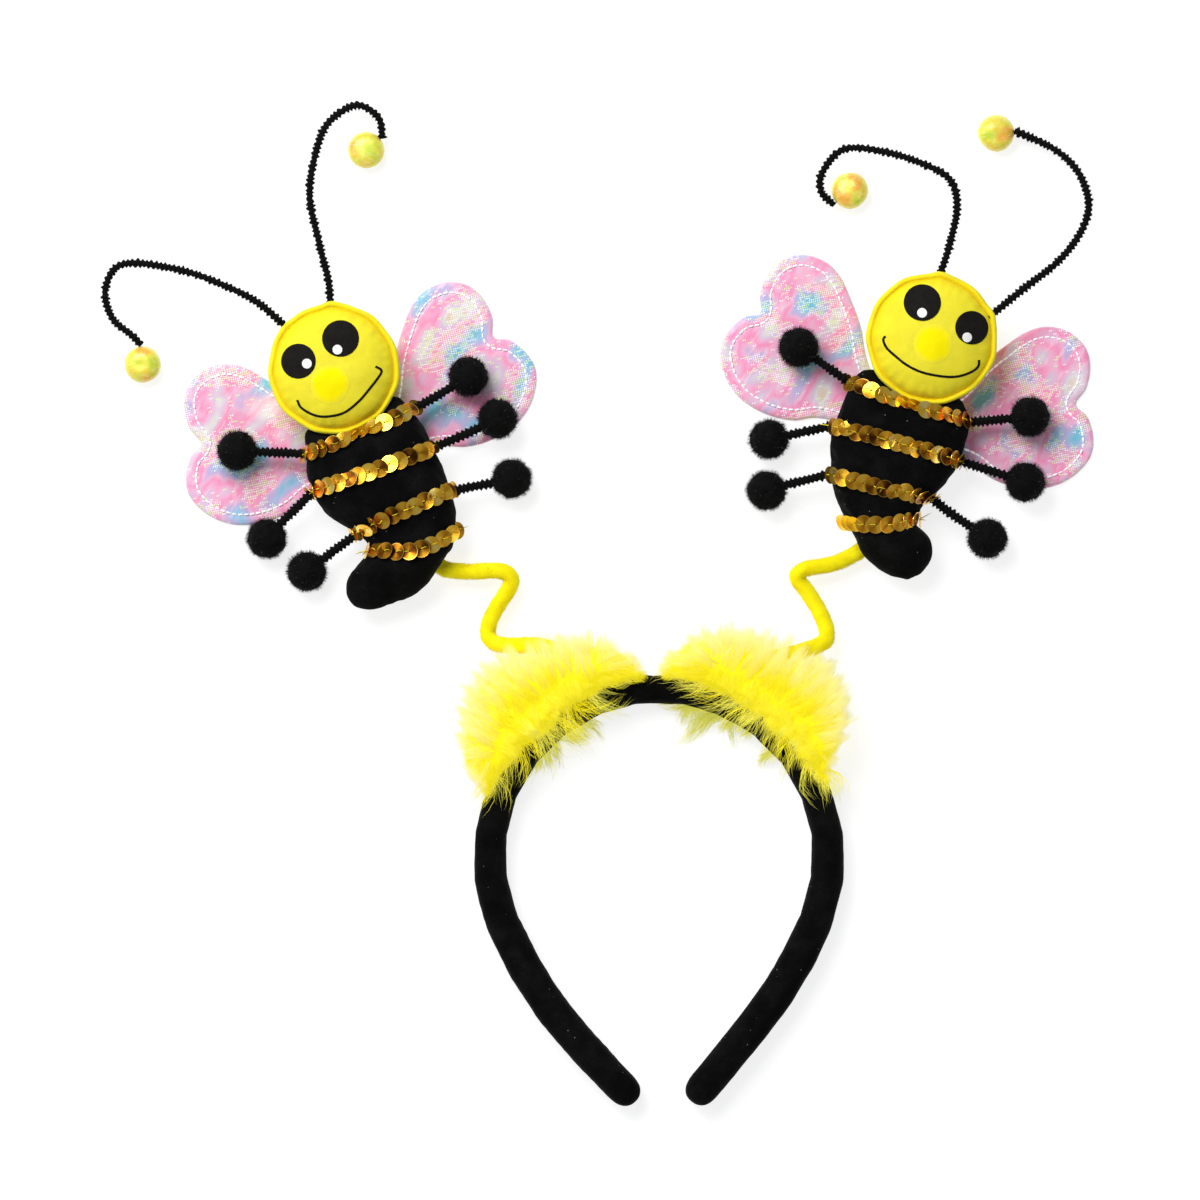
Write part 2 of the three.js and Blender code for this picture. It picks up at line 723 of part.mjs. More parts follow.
function stripeUp(bee, stripe, share) {
  const { outer, middle, inner } = stripes[bee.name][stripe];
  const bow = 4 * share * (1 - share);
  const straight = THREE.MathUtils.lerp(outer, inner, share);
  const along = straight + bow * (middle - (outer + inner) / 2);
  return bodyAboveWaist - along * bodyLength;
}

// A leg's wire from just off the body's edge to the pompom, and the pompom's middle.
function legRoute(bee, leg) {
  const up = stripeUp(bee, leg.stripe, leg.side < 0 ? 0 : 1);
  const column = leg.side < 0 ? "outer" : "inner";
  const edgeAt = (height) => bodySection(bee, height)[column];
  // How far the edge slants from the body's axis sets how far the square-cut wire stands off.
  const change = edgeAt(up + wireDiameter) - edgeAt(up - wireDiameter);
  const slant = Math.atan((leg.side * change) / (2 * wireDiameter));
  const slope = radians(leg.slopeDeg);
  const direction = point(bee.side * leg.side * Math.cos(slope), Math.sin(slope), 0);
  const edge = point(bee.side * edgeAt(up), up, seamHeight);
  const standOff = 1.5 * gap + (wireDiameter / 2) * Math.abs(Math.tan(slope + slant));
  const start = edge.clone().addScaledVector(direction, standOff);
  const centre = edge.clone().addScaledVector(direction, legReach * leg.reach);
  const under = leg.overWing ? wingThickness + gap : gap;
  centre.z = under + pompomDiameter / 2;
  const arrive = centre.clone().sub(start).normalize();
  const end = centre.clone().addScaledVector(arrive, -(pompomDiameter / 2 + gap));
  const middle = start.clone().lerp(end, 0.5);
  return { points: [start, middle, end], centre, arrive };
}

function body(bee) {
  const rows = bodySections[bee.name];
  const rings = rows.map(({ along }) => bodyRing(bee, bodyAboveWaist - along * bodyLength));
  const stem = stemGeometry(bee, gap).applyMatrix4(beeMatrix(bee).invert());
  const geometry = joinAndCut([loft(rings)], [headCutter(bee), stem]);
  return piece(`${bee.name}_body`, geometry, blackVelvet);
}

// How far the face stands forward of the rim's front at a distance from the head's middle.
function faceHeight(distance) {
  const radius = headDiameter / 2 - rimWidth;
  const share = Math.min(distance / radius, 1);
  return faceBulge * (1 - share ** 2) ** 0.7;
}

function head(bee) {
  const rim = headDiameter / 2;
  const groove = rim - rimWidth;
  const half = rimThickness / 2;
  const shares = [0, 0.42, 0.74, 0.94];
  const napeShare = napeBulge / faceBulge;
  const nape = shares.map((share) => [share * groove, -half - napeShare * faceHeight(share * groove)]);
  const face = shares.map((share) => [share * groove, half + faceHeight(share * groove)]).reverse();
  const edge = [
    [groove, -half],
    [rim, -half],
    [rim, half],
    [groove, half],
  ];
  const points = [...nape, ...edge, ...face].map(([across, up]) => new THREE.Vector2(across, up));
  const geometry = new THREE.LatheGeometry(points, headSides);
  geometry.rotateX(Math.PI / 2);
  const mesh = piece(`${bee.name}_head`, geometry, yellowFelt);
  mesh.position.copy(headCentre(bee));
  return mesh;
}

// A place on the face, from shares of the head's radius, with its height above the head's middle.
function facePlace(bee, { across, up }) {
  const x = (bee.side * across * headDiameter) / 2;
  const y = (up * headDiameter) / 2;
  return { x, y, z: rimThickness / 2 + faceHeight(Math.hypot(x, y)) };
}

// An eye: a round patch that follows the face's bulge.
function eye(bee, { name, across, up, size }) {
  const centre = facePlace(bee, { across, up });
  const radius = (eyeDiameter / 2) * size;
  const onFace = (x, y, lift) => point(x, y, rimThickness / 2 + faceHeight(Math.hypot(x, y)) + gap + lift);
  const ring = (share, lift) =>
    Array.from({ length: eyeSides }, (_, i) => {
      const angle = (2 * Math.PI * i) / eyeSides;
      const reach = radius * share;
      return onFace(centre.x + reach * Math.cos(angle), centre.y + reach * Math.sin(angle), lift);
    });
  const poles = [onFace(centre.x, centre.y, 0), onFace(centre.x, centre.y, eyeThickness)];
  const rings = [ring(0.55, 0), ring(1, 0), ring(1, eyeThickness), ring(0.55, eyeThickness)];
  const mesh = piece(`${bee.name}_${name}`, loft(rings, poles), blackPrint);
  mesh.position.copy(headCentre(bee));
  return mesh;
}

function mouth(bee) {
  const radius = mouthThickness / 2;
  const points = faces[bee.name].mouth.map((place) => {
    const { x, y, z } = facePlace(bee, place);
    return point(x, y, z + radius + gap);
  });
  const mesh = piece(`${bee.name}_mouth`, tube(points, radius, mouthSides, mouthSteps), blackPrint);
  mesh.position.copy(headCentre(bee));
  return mesh;
}

// How far a sequin in a given plane is raised to clear the rounded front that it lies on.
function riseOver(bee, at, facing) {
  const turn = new THREE.Quaternion().setFromUnitVectors(point(0, 0, 1), facing);
  let rise = 0;
  for (let i = 0; i < 2 * sequinSides; i++) {
    const angle = (2 * Math.PI * i) / sequinSides;
    const reach = (sequinDiameter / 2) * (i < sequinSides ? 1 : 0.6);
    const spot = point(reach * Math.cos(angle), reach * Math.sin(angle), 0).applyQuaternion(turn).add(at);
    const { middle, half } = bodySection(bee, spot.y);
    if (Math.abs(spot.x - middle) < half) {
      rise = Math.max(rise, (bodyFrontAt(bee, spot.x, spot.y).at.z - spot.z) * facing.z);
    }
  }
  return rise;
}

// A stripe: sequins evenly along the body's front, each in line with its neighbours and lapped on the next.
function sequinStripe(bee, stripe) {
  const inset = 0.46 * sequinDiameter;
  const first = bodySection(bee, stripeUp(bee, stripe, 0)).outer + inset;
  const last = bodySection(bee, stripeUp(bee, stripe, 1)).inner - inset;
  const spotAt = (share) =>
    bodyFrontAt(bee, THREE.MathUtils.lerp(first, last, share), stripeUp(bee, stripe, share));
  const samples = Array.from({ length: 25 }, (_, i) => spotAt(i / 24).at);
  const route = new THREE.CatmullRomCurve3(samples);
  const count = Math.round(route.getLength() / sequinPitch) + 1;
  const spots = Array.from({ length: count }, (_, i) => spotAt(route.getUtoTmapping(i / (count - 1))));
  const places = spots.map(({ at }) => at.clone());
  const lean = radians(sequinLean);
  const discs = [];
  spots.forEach(({ at, facing }, i) => {
    const along = places[Math.min(i + 1, count - 1)].clone().sub(places[Math.max(i - 1, 0)]).normalize();
    facing.addScaledVector(along, -facing.dot(along)).normalize();
    const profile = [
      new THREE.Vector2(0, -sequinCup / 2),
      new THREE.Vector2(sequinDiameter / 2, 0),
      new THREE.Vector2(0, sequinCup / 2),
    ];
    const disc = new THREE.LatheGeometry(profile, sequinSides);
    disc.rotateX(Math.PI / 2);
    disc.rotateY(lean);
    disc.applyQuaternion(new THREE.Quaternion().setFromUnitVectors(point(0, 0, 1), facing));
    const lift = gap + sequinLift + (sequinDiameter / 2) * Math.sin(lean) + riseOver(bee, at, facing);
    const centre = at.addScaledVector(facing, lift);
    disc.translate(centre.x, centre.y, centre.z);
    discs.push(bee.side > 0 ? disc : turnedOver(disc));
  });
  return piece(`${bee.name}_sequin_stripe_${stripe + 1}`, joinAndCut(discs, []), goldFoil);
}

// A geometry mirrored across the bee's own axis, still facing outwards.
function turnedOver(geometry) {
  const bare = geometry.clone();
  bare.deleteAttribute("normal");
  bare.deleteAttribute("uv");
  const merged = mergeVertices(bare, 1e-4);
  const position = merged.attributes.position;
  const corners = [];
  for (let i = 0; i < position.count; i++) {
    corners.push(point(-position.getX(i), position.getY(i), position.getZ(i)));
  }
  const triangles = [];
  for (let i = 0; i < merged.index.count; i += 3) {
    triangles.push([0, 1, 2].map((k) => merged.index.getX(i + k)));
  }
  return closedGeometry(corners, triangles);
}

// A wing: a heart-shaped pad, fullest in the middle, with its point under the body.
function wing(bee, { name, side, across: rootAcross, up: rootUp }) {
  const turn = radians(wingTurnDeg);
  const outline = wingOutline.map(({ along, across }) => [along * wingLength, (across * wingSpan) / 2]);
  outline.unshift([-(rootAcross - wingPointAcross) / Math.cos(turn), 0]);
  const ring = (size, height) =>
    outline.map(([along, across]) => {
      const heart = 0.55 * wingLength;
      const a = heart + (along - heart) * size;
      const b = across * size;
      const x = rootAcross + a * Math.cos(turn) - b * Math.sin(turn);
      const y = rootUp + a * Math.sin(turn) + b * Math.cos(turn);
      return point(bee.side * side * x, y, height);
    });
  const rings = [
    ring(0.9, 0),
    ring(1, 0.35 * wingThickness),
    ring(1, 0.65 * wingThickness),
    ring(0.9, wingThickness),
  ];
  return piece(`${bee.name}_${name}`, loft(rings), pearlFabric);
}

function leg(bee, row) {
  const { points } = legRoute(bee, row);
  const geometry = tube(points, wireDiameter / 2, wireSides, legSteps);
  return piece(`${bee.name}_leg_${row.name}`, geometry, blackChenille);
}

// A pompom: a tufted ball with one tuft facing its wire.
function pompom(bee, row) {
  const { centre, arrive } = legRoute(bee, row);
  const radius = pompomDiameter / 2;
  const ball = mergeVertices(bareIcosahedron(), 1e-4);
  const position = ball.attributes.position;
  const tuft = point(0, 0, 0).fromBufferAttribute(position, 0).normalize();
  for (let i = 0; i < position.count; i++) {
    const corner = point(0, 0, 0).fromBufferAttribute(position, i).normalize();
    const isTuft = tuftDirections.some((direction) => direction.distanceTo(corner) < 0.01);
    corner.multiplyScalar(isTuft ? radius : 0.93 * radius);
    position.setXYZ(i, corner.x, corner.y, corner.z);
  }
  ball.applyQuaternion(new THREE.Quaternion().setFromUnitVectors(tuft, arrive.clone().negate()));
  ball.translate(centre.x, centre.y, centre.z);
  return piece(`${bee.name}_pompom_${row.name}`, ball, blackChenille);
}

function bareIcosahedron(detail = 1) {
  const ball = new THREE.IcosahedronGeometry(1, detail);
  ball.deleteAttribute("normal");
  ball.deleteAttribute("uv");
  return ball;
}

const tuftDirections = (() => {
  const corners = mergeVertices(bareIcosahedron(0), 1e-4).attributes.position;
  const cornerAt = (i) => point(0, 0, 0).fromBufferAttribute(corners, i).normalize();
  return Array.from({ length: corners.count }, (_, i) => cornerAt(i));
})();

// A feeler's bends from the rim to its foil disc, sinking from the rim's height to the disc's.
function feelerRoute(bee, { rimDeg, tipDeg, bends }) {
  const centre = headCentre(bee);
  const rim = radians(rimDeg);
  const clear = headDiameter / 2 + gap + 0.3 * (wireDiameter / 2);
  const root = point(bee.side * Math.sin(rim), Math.cos(rim), 0).multiplyScalar(clear).add(centre);
  const tipHeight = gap + tipThickness / 2;
  const flat = bends.map(({ across, up }) =>
    point(root.x + bee.side * across * feelerReach, root.y + up * feelerReach, 0),
  );
  const points = [root];
  flat.forEach((corner, i) => {
    const share = (i + 1) / flat.length;
    points.push(corner.setZ(THREE.MathUtils.lerp(headHeight, tipHeight, share)));
  });
  const way = radians(tipDeg);
  const towards = point(bee.side * Math.cos(way), Math.sin(way), 0);
  const bend = points.at(-1).clone().sub(points.at(-2)).setZ(0).angleTo(towards);
  const standOff = gap + (wireDiameter / 2) * Math.sin(bend);
  const middle = points.at(-1).clone().addScaledVector(towards, tipDiameter / 2 + standOff);
  return { points, middle, towards };
}

function feeler(bee, row) {
  const { points } = feelerRoute(bee, row);
  const geometry = tube(points, wireDiameter / 2, wireSides, feelerSteps);
  return piece(`${bee.name}_feeler_${row.name}`, geometry, blackChenille);
}

// A foil disc: a small round cushion, lying flat, with one corner of its rim facing the wire.
function feelerTip(bee, row) {
  const { middle, towards } = feelerRoute(bee, row);
  const profile = [
    [0, -1],
    [0.7, -0.72],
    [1, -0.18],
    [1, 0.18],
    [0.7, 0.72],
    [0, 1],
  ];
  const scaled = profile.map(([across, up]) => {
    return new THREE.Vector2((across * tipDiameter) / 2, (up * tipThickness) / 2);
  });
  const geometry = new THREE.LatheGeometry(scaled, tipSides);
  geometry.rotateX(Math.PI / 2);
  geometry.rotateZ(Math.atan2(-towards.y, -towards.x) + Math.PI / 2);
  geometry.translate(middle.x, middle.y, middle.z);
  return piece(`${bee.name}_feeler_tip_${row.name}`, geometry, yellowFoil);
}

// Where the bee lies: leaning outwards, with its back on the end of its stem.
function beeMatrix(bee) {
  const turn = new THREE.Matrix4().makeRotationZ(bee.side * radians(bee.leanDeg));
  const seat = point(bee.side * bee.seatAcross, bee.seatUp, 0).applyMatrix4(turn);
  const { end } = stemPoints(bee);
  return turn.setPosition(end.x - seat.x, end.y - seat.y, 0);
}

function beeGroup(bee) {
  const group = new THREE.Group();
  group.applyMatrix4(beeMatrix(bee));
  group.add(body(bee), head(bee), mouth(bee));
  for (const row of faces[bee.name].eyes) group.add(eye(bee, row));
  for (let stripe = 0; stripe < stripes[bee.name].length; stripe++) group.add(sequinStripe(bee, stripe));
  for (const row of wingRoots[bee.name]) group.add(wing(bee, row));
  for (const row of legs[bee.name]) group.add(leg(bee, row), pompom(bee, row));
  for (const row of feelers[bee.name]) group.add(feeler(bee, row), feelerTip(bee, row));
  return group;
}

const beeHeadband = new THREE.Group();
beeHeadband.add(headband());
for (const bee of bees) {
  beeHeadband.add(featherTuft(bee));
  beeHeadband.add(piece(`${bee.name}_stem`, stemGeometry(bee), yellowPlush));
  beeHeadband.add(beeGroup(bee));
}

export default beeHeadband;
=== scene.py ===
import math

import bmesh
import bpy
import numpy as np
from mathutils import Matrix, Vector
from mathutils.bvhtree import BVHTree
from mathutils.geometry import delaunay_2d_cdt


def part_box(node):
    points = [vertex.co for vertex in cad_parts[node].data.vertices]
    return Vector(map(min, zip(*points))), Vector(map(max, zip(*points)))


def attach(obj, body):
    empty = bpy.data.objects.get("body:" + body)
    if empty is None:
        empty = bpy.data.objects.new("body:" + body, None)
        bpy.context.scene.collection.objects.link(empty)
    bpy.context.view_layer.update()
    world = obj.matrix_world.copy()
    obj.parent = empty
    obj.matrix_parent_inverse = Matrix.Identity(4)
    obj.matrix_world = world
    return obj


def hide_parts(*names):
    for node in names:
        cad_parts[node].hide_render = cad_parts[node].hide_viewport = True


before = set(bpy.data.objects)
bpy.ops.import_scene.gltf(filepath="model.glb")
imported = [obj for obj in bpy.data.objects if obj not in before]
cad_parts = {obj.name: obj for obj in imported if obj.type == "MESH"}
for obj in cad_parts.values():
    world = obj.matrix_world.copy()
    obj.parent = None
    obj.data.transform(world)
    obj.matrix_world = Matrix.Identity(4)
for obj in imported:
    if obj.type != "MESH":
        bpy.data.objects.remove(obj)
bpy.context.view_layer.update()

mm = 0.001
turnAround = 2 * math.pi

# camera, straight above as in the photograph, with a field of 456 mm at the object
shot = {"across": -22.42, "up": 34.01, "distance": 4200, "above": 12, "field": 456, "film": 36}

bpy.ops.object.select_all(action="DESELECT")
bpy.ops.object.camera_add(
    location=(shot["across"] * mm, shot["up"] * mm, (shot["distance"] + shot["above"]) * mm),
    rotation=(0, 0, 0))
camera = bpy.context.object
camera.data.sensor_width = shot["film"]
camera.data.lens = shot["film"] * shot["distance"] / shot["field"]
camera.data.clip_end = 20
bpy.context.scene.camera = camera
print("camera ready")


# ---- selecting, modifiers and meshes

def alone(piece):
    if bpy.context.mode != "OBJECT":
        bpy.ops.object.mode_set(mode="OBJECT")
    bpy.ops.object.select_all(action="DESELECT")
    piece.select_set(True)
    bpy.context.view_layer.objects.active = piece


def applied(piece, kind, **settings):
    alone(piece)
    modifier = piece.modifiers.new(kind.title(), kind)
    for key, value in settings.items():
        setattr(modifier, key, value)
    bpy.ops.object.modifier_apply(modifier=modifier.name)


def editing(piece):
    alone(piece)
    bpy.ops.object.mode_set(mode="EDIT")
    bpy.ops.mesh.select_all(action="SELECT")


def smoothed(piece, degrees=None):
    alone(piece)
    if degrees is None:
        bpy.ops.object.shade_smooth()
    else:
        bpy.ops.object.shade_smooth_by_angle(angle=math.radians(degrees))
    return piece


def calledAs(name):
    piece = bpy.context.object
    piece.name = piece.data.name = name
    return piece


def placed(name, data):
    piece = bpy.data.objects.new(name, data)
    bpy.context.scene.collection.objects.link(piece)
    return piece


def vertexValues(piece, collection, field):
    items = getattr(piece.data, collection)
    flat = np.empty(len(items) * 3, dtype=np.float32)
    items.foreach_get(field, flat)
    return flat.reshape(-1, 3).astype(np.float64) / (mm if field == "co" else 1)


def pointsOf(piece):
    return vertexValues(piece, "vertices", "co")


def normalsOf(piece):
    return vertexValues(piece, "vertex_normals", "vector")


def setPoints(piece, points):
    flat = np.ascontiguousarray(points * mm, dtype=np.float32).ravel()
    piece.data.vertices.foreach_set("co", flat)
    piece.data.update()


# the attribute that the materials read: one value for the whole piece, or one for each point
def setTone(piece, tone):
    layer = piece.data.attributes.get("tone") or piece.data.attributes.new("tone", "FLOAT", "POINT")
    values = np.broadcast_to(tone, len(piece.data.vertices))
    layer.data.foreach_set("value", np.ascontiguousarray(values, dtype=np.float32))


def unit(vectors):
    return vectors / np.maximum(np.linalg.norm(vectors, axis=-1, keepdims=True), 1e-9)


def meshPiece(name, points, quads, tris, tone):
    mesh = bpy.data.meshes.new(name)
    mesh.vertices.add(len(points))
    mesh.vertices.foreach_set("co", np.ascontiguousarray(points * mm, dtype=np.float32).ravel())
    corners = np.concatenate([quads.ravel(), tris.ravel()]).astype(np.int32)
    starts = np.concatenate([np.arange(len(quads)) * 4, len(quads) * 4 + np.arange(len(tris)) * 3])
    mesh.loops.add(len(corners))
    mesh.loops.foreach_set("vertex_index", corners)
    mesh.polygons.add(len(starts))
    mesh.polygons.foreach_set("loop_start", starts.astype(np.int32))
    mesh.polygons.foreach_set("use_smooth", np.full(len(starts), True))
    mesh.update(calc_edges=True)
    mesh.validate()
    piece = placed(name, mesh)
    setTone(piece, tone)
    return piece


def joined(pieces, name):
    bpy.ops.object.select_all(action="DESELECT")
    for piece in pieces:
        piece.select_set(True)
    bpy.context.view_layer.objects.active = pieces[0]
    bpy.ops.object.join()
    return calledAs(name)


def duplicate(piece):
    copy = piece.copy()
    copy.data = piece.data.copy()
    bpy.context.scene.collection.objects.link(copy)
    return copy


# a smooth wobble of about one size: the sum of a few plane waves
def ripples(points, size, seed):
    waves = 10
    draw = np.random.default_rng(seed)
    directions = unit(draw.normal(size=(waves, points.shape[-1])))
    directions *= turnAround / size * draw.uniform(0.7, 1.4, (waves, 1))
    phases = draw.uniform(0, turnAround, waves)
    return np.sin(points @ directions.T + phases).sum(axis=-1) / math.sqrt(waves)


# a rounded route through the given points, with a point every step millimetres
def roundedRoute(corners, step):
    corners = np.array(corners, dtype=float)
    padded = np.vstack([2 * corners[0] - corners[1], corners, 2 * corners[-1] - corners[-2]])
    fine = []
    for at in range(1, len(padded) - 2):
        a, b, c, d = padded[at - 1:at + 3]
        for share in np.linspace(0, 1, 24, endpoint=False):
            fine.append(0.5 * (2 * b + (c - a) * share + (2 * a - 5 * b + 4 * c - d) * share ** 2
                               + (3 * b - a - 3 * c + d) * share ** 3))
    fine.append(corners[-1])
    return evenly(np.array(fine), step)


def evenly(line, step):
    lengths = np.concatenate([[0], np.cumsum(np.linalg.norm(np.diff(line, axis=0), axis=1))])
    places = np.linspace(0, lengths[-1], max(2, round(lengths[-1] / step) + 1))
    return np.stack([np.interp(places, lengths, line[:, axis]) for axis in range(3)], axis=1)


# directions along and across a route, turned as little as possible from point to point
def routeFrames(route):
    along = unit(np.gradient(route, axis=0))
    side = np.zeros_like(along)
    start = np.cross(along[0], (0.0, 0.0, 1.0))
    side[0] = unit(start if np.linalg.norm(start) > 0.1 else np.cross(along[0], (1.0, 0.0, 0.0)))
    for at in range(1, len(route)):
        side[at] = unit(side[at - 1] - along[at] * np.dot(side[at - 1], along[at]))
    return along, side, np.cross(along, side)


# slender closed spikes or barbs, each three-sided, along (n, k, 3) lines
def strandArrays(lines, widths):
    count, steps, _ = lines.shape
    if steps > 2:
        along = unit(np.gradient(lines, axis=1))
    else:
        along = np.repeat(unit(lines[:, 1:] - lines[:, :1]), 2, axis=1)
    lead = unit(np.cross(along[:, :1], np.random.default_rng(5).normal(size=(count, 1, 3))))
    side = unit(np.cross(along, np.cross(lead, along)))
    up = np.cross(along, side)
    rings = []
    for corner in range(3):
        turn = turnAround * corner / 3
        outward = math.cos(turn) * side[:, :-1] + math.sin(turn) * up[:, :-1]
        rings.append(lines[:, :-1] + widths[:, :, None] * outward)
    body = np.stack(rings, axis=2).reshape(count, -1, 3)
    points = np.concatenate([body, lines[:, -1:]], axis=1)
    each = points.shape[1]
    base = (np.arange(count) * each)[:, None]
    quads = []
    for ring in range(steps - 2):
        for corner in range(3):
            a, b = ring * 3 + corner, ring * 3 + (corner + 1) % 3
            quads.append(np.array([a, b, b + 3, a + 3]))
    last = (steps - 2) * 3
    tris = [np.array([last + corner, last + (corner + 1) % 3, each - 1]) for corner in range(3)]
    tris.append(np.array([2, 1, 0]))
    quads = np.concatenate([base + quad for quad in quads], axis=0) if quads else np.zeros((0, 4), int)
    tris = np.concatenate([base + tri for tri in tris], axis=0)
    return points.reshape(-1, 3), quads, tris, each


# tone is one value for each strand, or one for each point of its line
def strandPiece(name, lines, widths, tone):
    points, quads, tris, each = strandArrays(lines, widths)
    if np.ndim(tone) == 2:
        tones = np.concatenate([np.repeat(tone[:, :-1], 3, axis=1), tone[:, -1:]], axis=1).ravel()
    else:
        tones = np.repeat(tone, each)
    return meshPiece(name, points, quads, tris, tones)


# a closed tube along a route, with its own radius at every point round it
def tubePiece(name, route, frames, radius, tone):
    _, side, up = frames
    count, sides = radius.shape
    turn = np.arange(sides) * turnAround / sides
    cosine, sine = np.cos(turn)[None, :, None], np.sin(turn)[None, :, None]
    outward = cosine * side[:, None] + sine * up[:, None]
    body = (route[:, None] + outward * radius[:, :, None]).reshape(-1, 3)
    points = np.vstack([body, route[:1], route[-1:]])
    ring, corner = np.meshgrid(np.arange(count - 1), np.arange(sides), indexing="ij")
    ring, corner = ring.ravel(), corner.ravel()
    ahead = (corner + 1) % sides
    quads = np.column_stack([ring * sides + corner, ring * sides + ahead,
                             (ring + 1) * sides + ahead, (ring + 1) * sides + corner])
    around, last = np.arange(sides), (count - 1) * sides
    ahead = (around + 1) % sides
    first, end = np.full(sides, count * sides), np.full(sides, count * sides + 1)
    tris = np.vstack([np.column_stack([ahead, around, first]),
                      np.column_stack([last + around, last + ahead, end])])
    tones = np.concatenate([tone.ravel(), [tone.mean(), tone.mean()]])
    return meshPiece(name, points, quads, tris, tones)


# a round cord with closed ends, made as a curve with a thickness
def cordPiece(name, route, radius, sides):
    curve = bpy.data.curves.new(name, "CURVE")
    curve.dimensions = "3D"
    curve.bevel_depth = radius * mm
    curve.bevel_resolution = max(0, sides // 2 - 2)
    curve.use_fill_caps = True
    spline = curve.splines.new("POLY")
    spline.points.add(len(route) - 1)
    for place, point in zip(spline.points, route):
        place.co = (*(point * mm), 1)
    alone(placed(name, curve))
    bpy.ops.object.convert(target="MESH")
    return smoothed(calledAs(name))


# ---- materials

def addNode(tree, kind, sockets=None, **settings):
    made = tree.nodes.new("ShaderNode" + kind)
    for key, value in settings.items():
        setattr(made, key, value)
    for key, value in (sockets or {}).items():
        if isinstance(value, bpy.types.NodeSocket):
            tree.links.new(value, made.inputs[key])
        elif made.inputs[key].type == "RGBA" and len(value) == 3:
            made.inputs[key].default_value = (*value, 1)
        else:
            made.inputs[key].default_value = value
    return made


def sums(tree, operation, first, second=0.0, third=0.0):
    return addNode(tree, "Math", {0: first, 1: second, 2: third}, operation=operation).outputs[0]


def ramp(tree, factor, stops):
    made = addNode(tree, "ValToRGB", {"Fac": factor})
    elements = made.color_ramp.elements
    while len(elements) < len(stops):
        elements.new(0.5)
    for element, (place, colour) in zip(elements, stops):
        element.position = place
        element.color = (*colour, 1) if isinstance(colour, tuple) else (colour, colour, colour, 1)
    return made.outputs["Color"]


def mixed(tree, factor, first, second, blend="MIX"):
    sockets = {0: factor, 6: first, 7: second}
    return addNode(tree, "Mix", sockets, data_type="RGBA", blend_type=blend).outputs[2]


def newGroup(name, takes, gives):
    group = bpy.data.node_groups.new(name, "ShaderNodeTree")
    for label, kind, value in takes:
        socket = group.interface.new_socket(name=label, in_out="INPUT", socket_type=kind)
        if value is not None:
            socket.default_value = value
    for label, kind in gives:
        group.interface.new_socket(name=label, in_out="OUTPUT", socket_type=kind)
    inside = group.nodes.new("NodeGroupInput")
    outside = group.nodes.new("NodeGroupOutput")
    return group, inside.outputs, outside.inputs


number, vector = "NodeSocketFloat", "NodeSocketVector"


# soft patches with a fine grain over them
def buildClothGrain():
    group, takes, gives = newGroup(
        "clothGrain",
        [("Place", vector, None), ("Patch Size", number, 8.0), ("Grain Size", number, 0.4),
         ("Grain", number, 0.5)],
        [("Mottle", number), ("Height", number)])
    patchScale = sums(group, "DIVIDE", 1000.0, takes["Patch Size"])
    grainScale = sums(group, "DIVIDE", 1000.0, takes["Grain Size"])
    patches = addNode(group, "TexNoise", {
        "Vector": takes["Place"], "Scale": patchScale, "Detail": 3.0, "Roughness": 0.6})
    grain = addNode(group, "TexNoise", {
        "Vector": takes["Place"], "Scale": grainScale, "Detail": 2.0, "Roughness": 0.6})
    grainPart = sums(group, "MULTIPLY", grain.outputs["Fac"], takes["Grain"])
    patchPart = sums(group, "MULTIPLY", patches.outputs["Fac"], sums(group, "SUBTRACT", 1.0, takes["Grain"]))
    group.links.new(sums(group, "ADD", patchPart, grainPart), gives["Mottle"])
    group.links.new(grain.outputs["Fac"], gives["Height"])
    return group


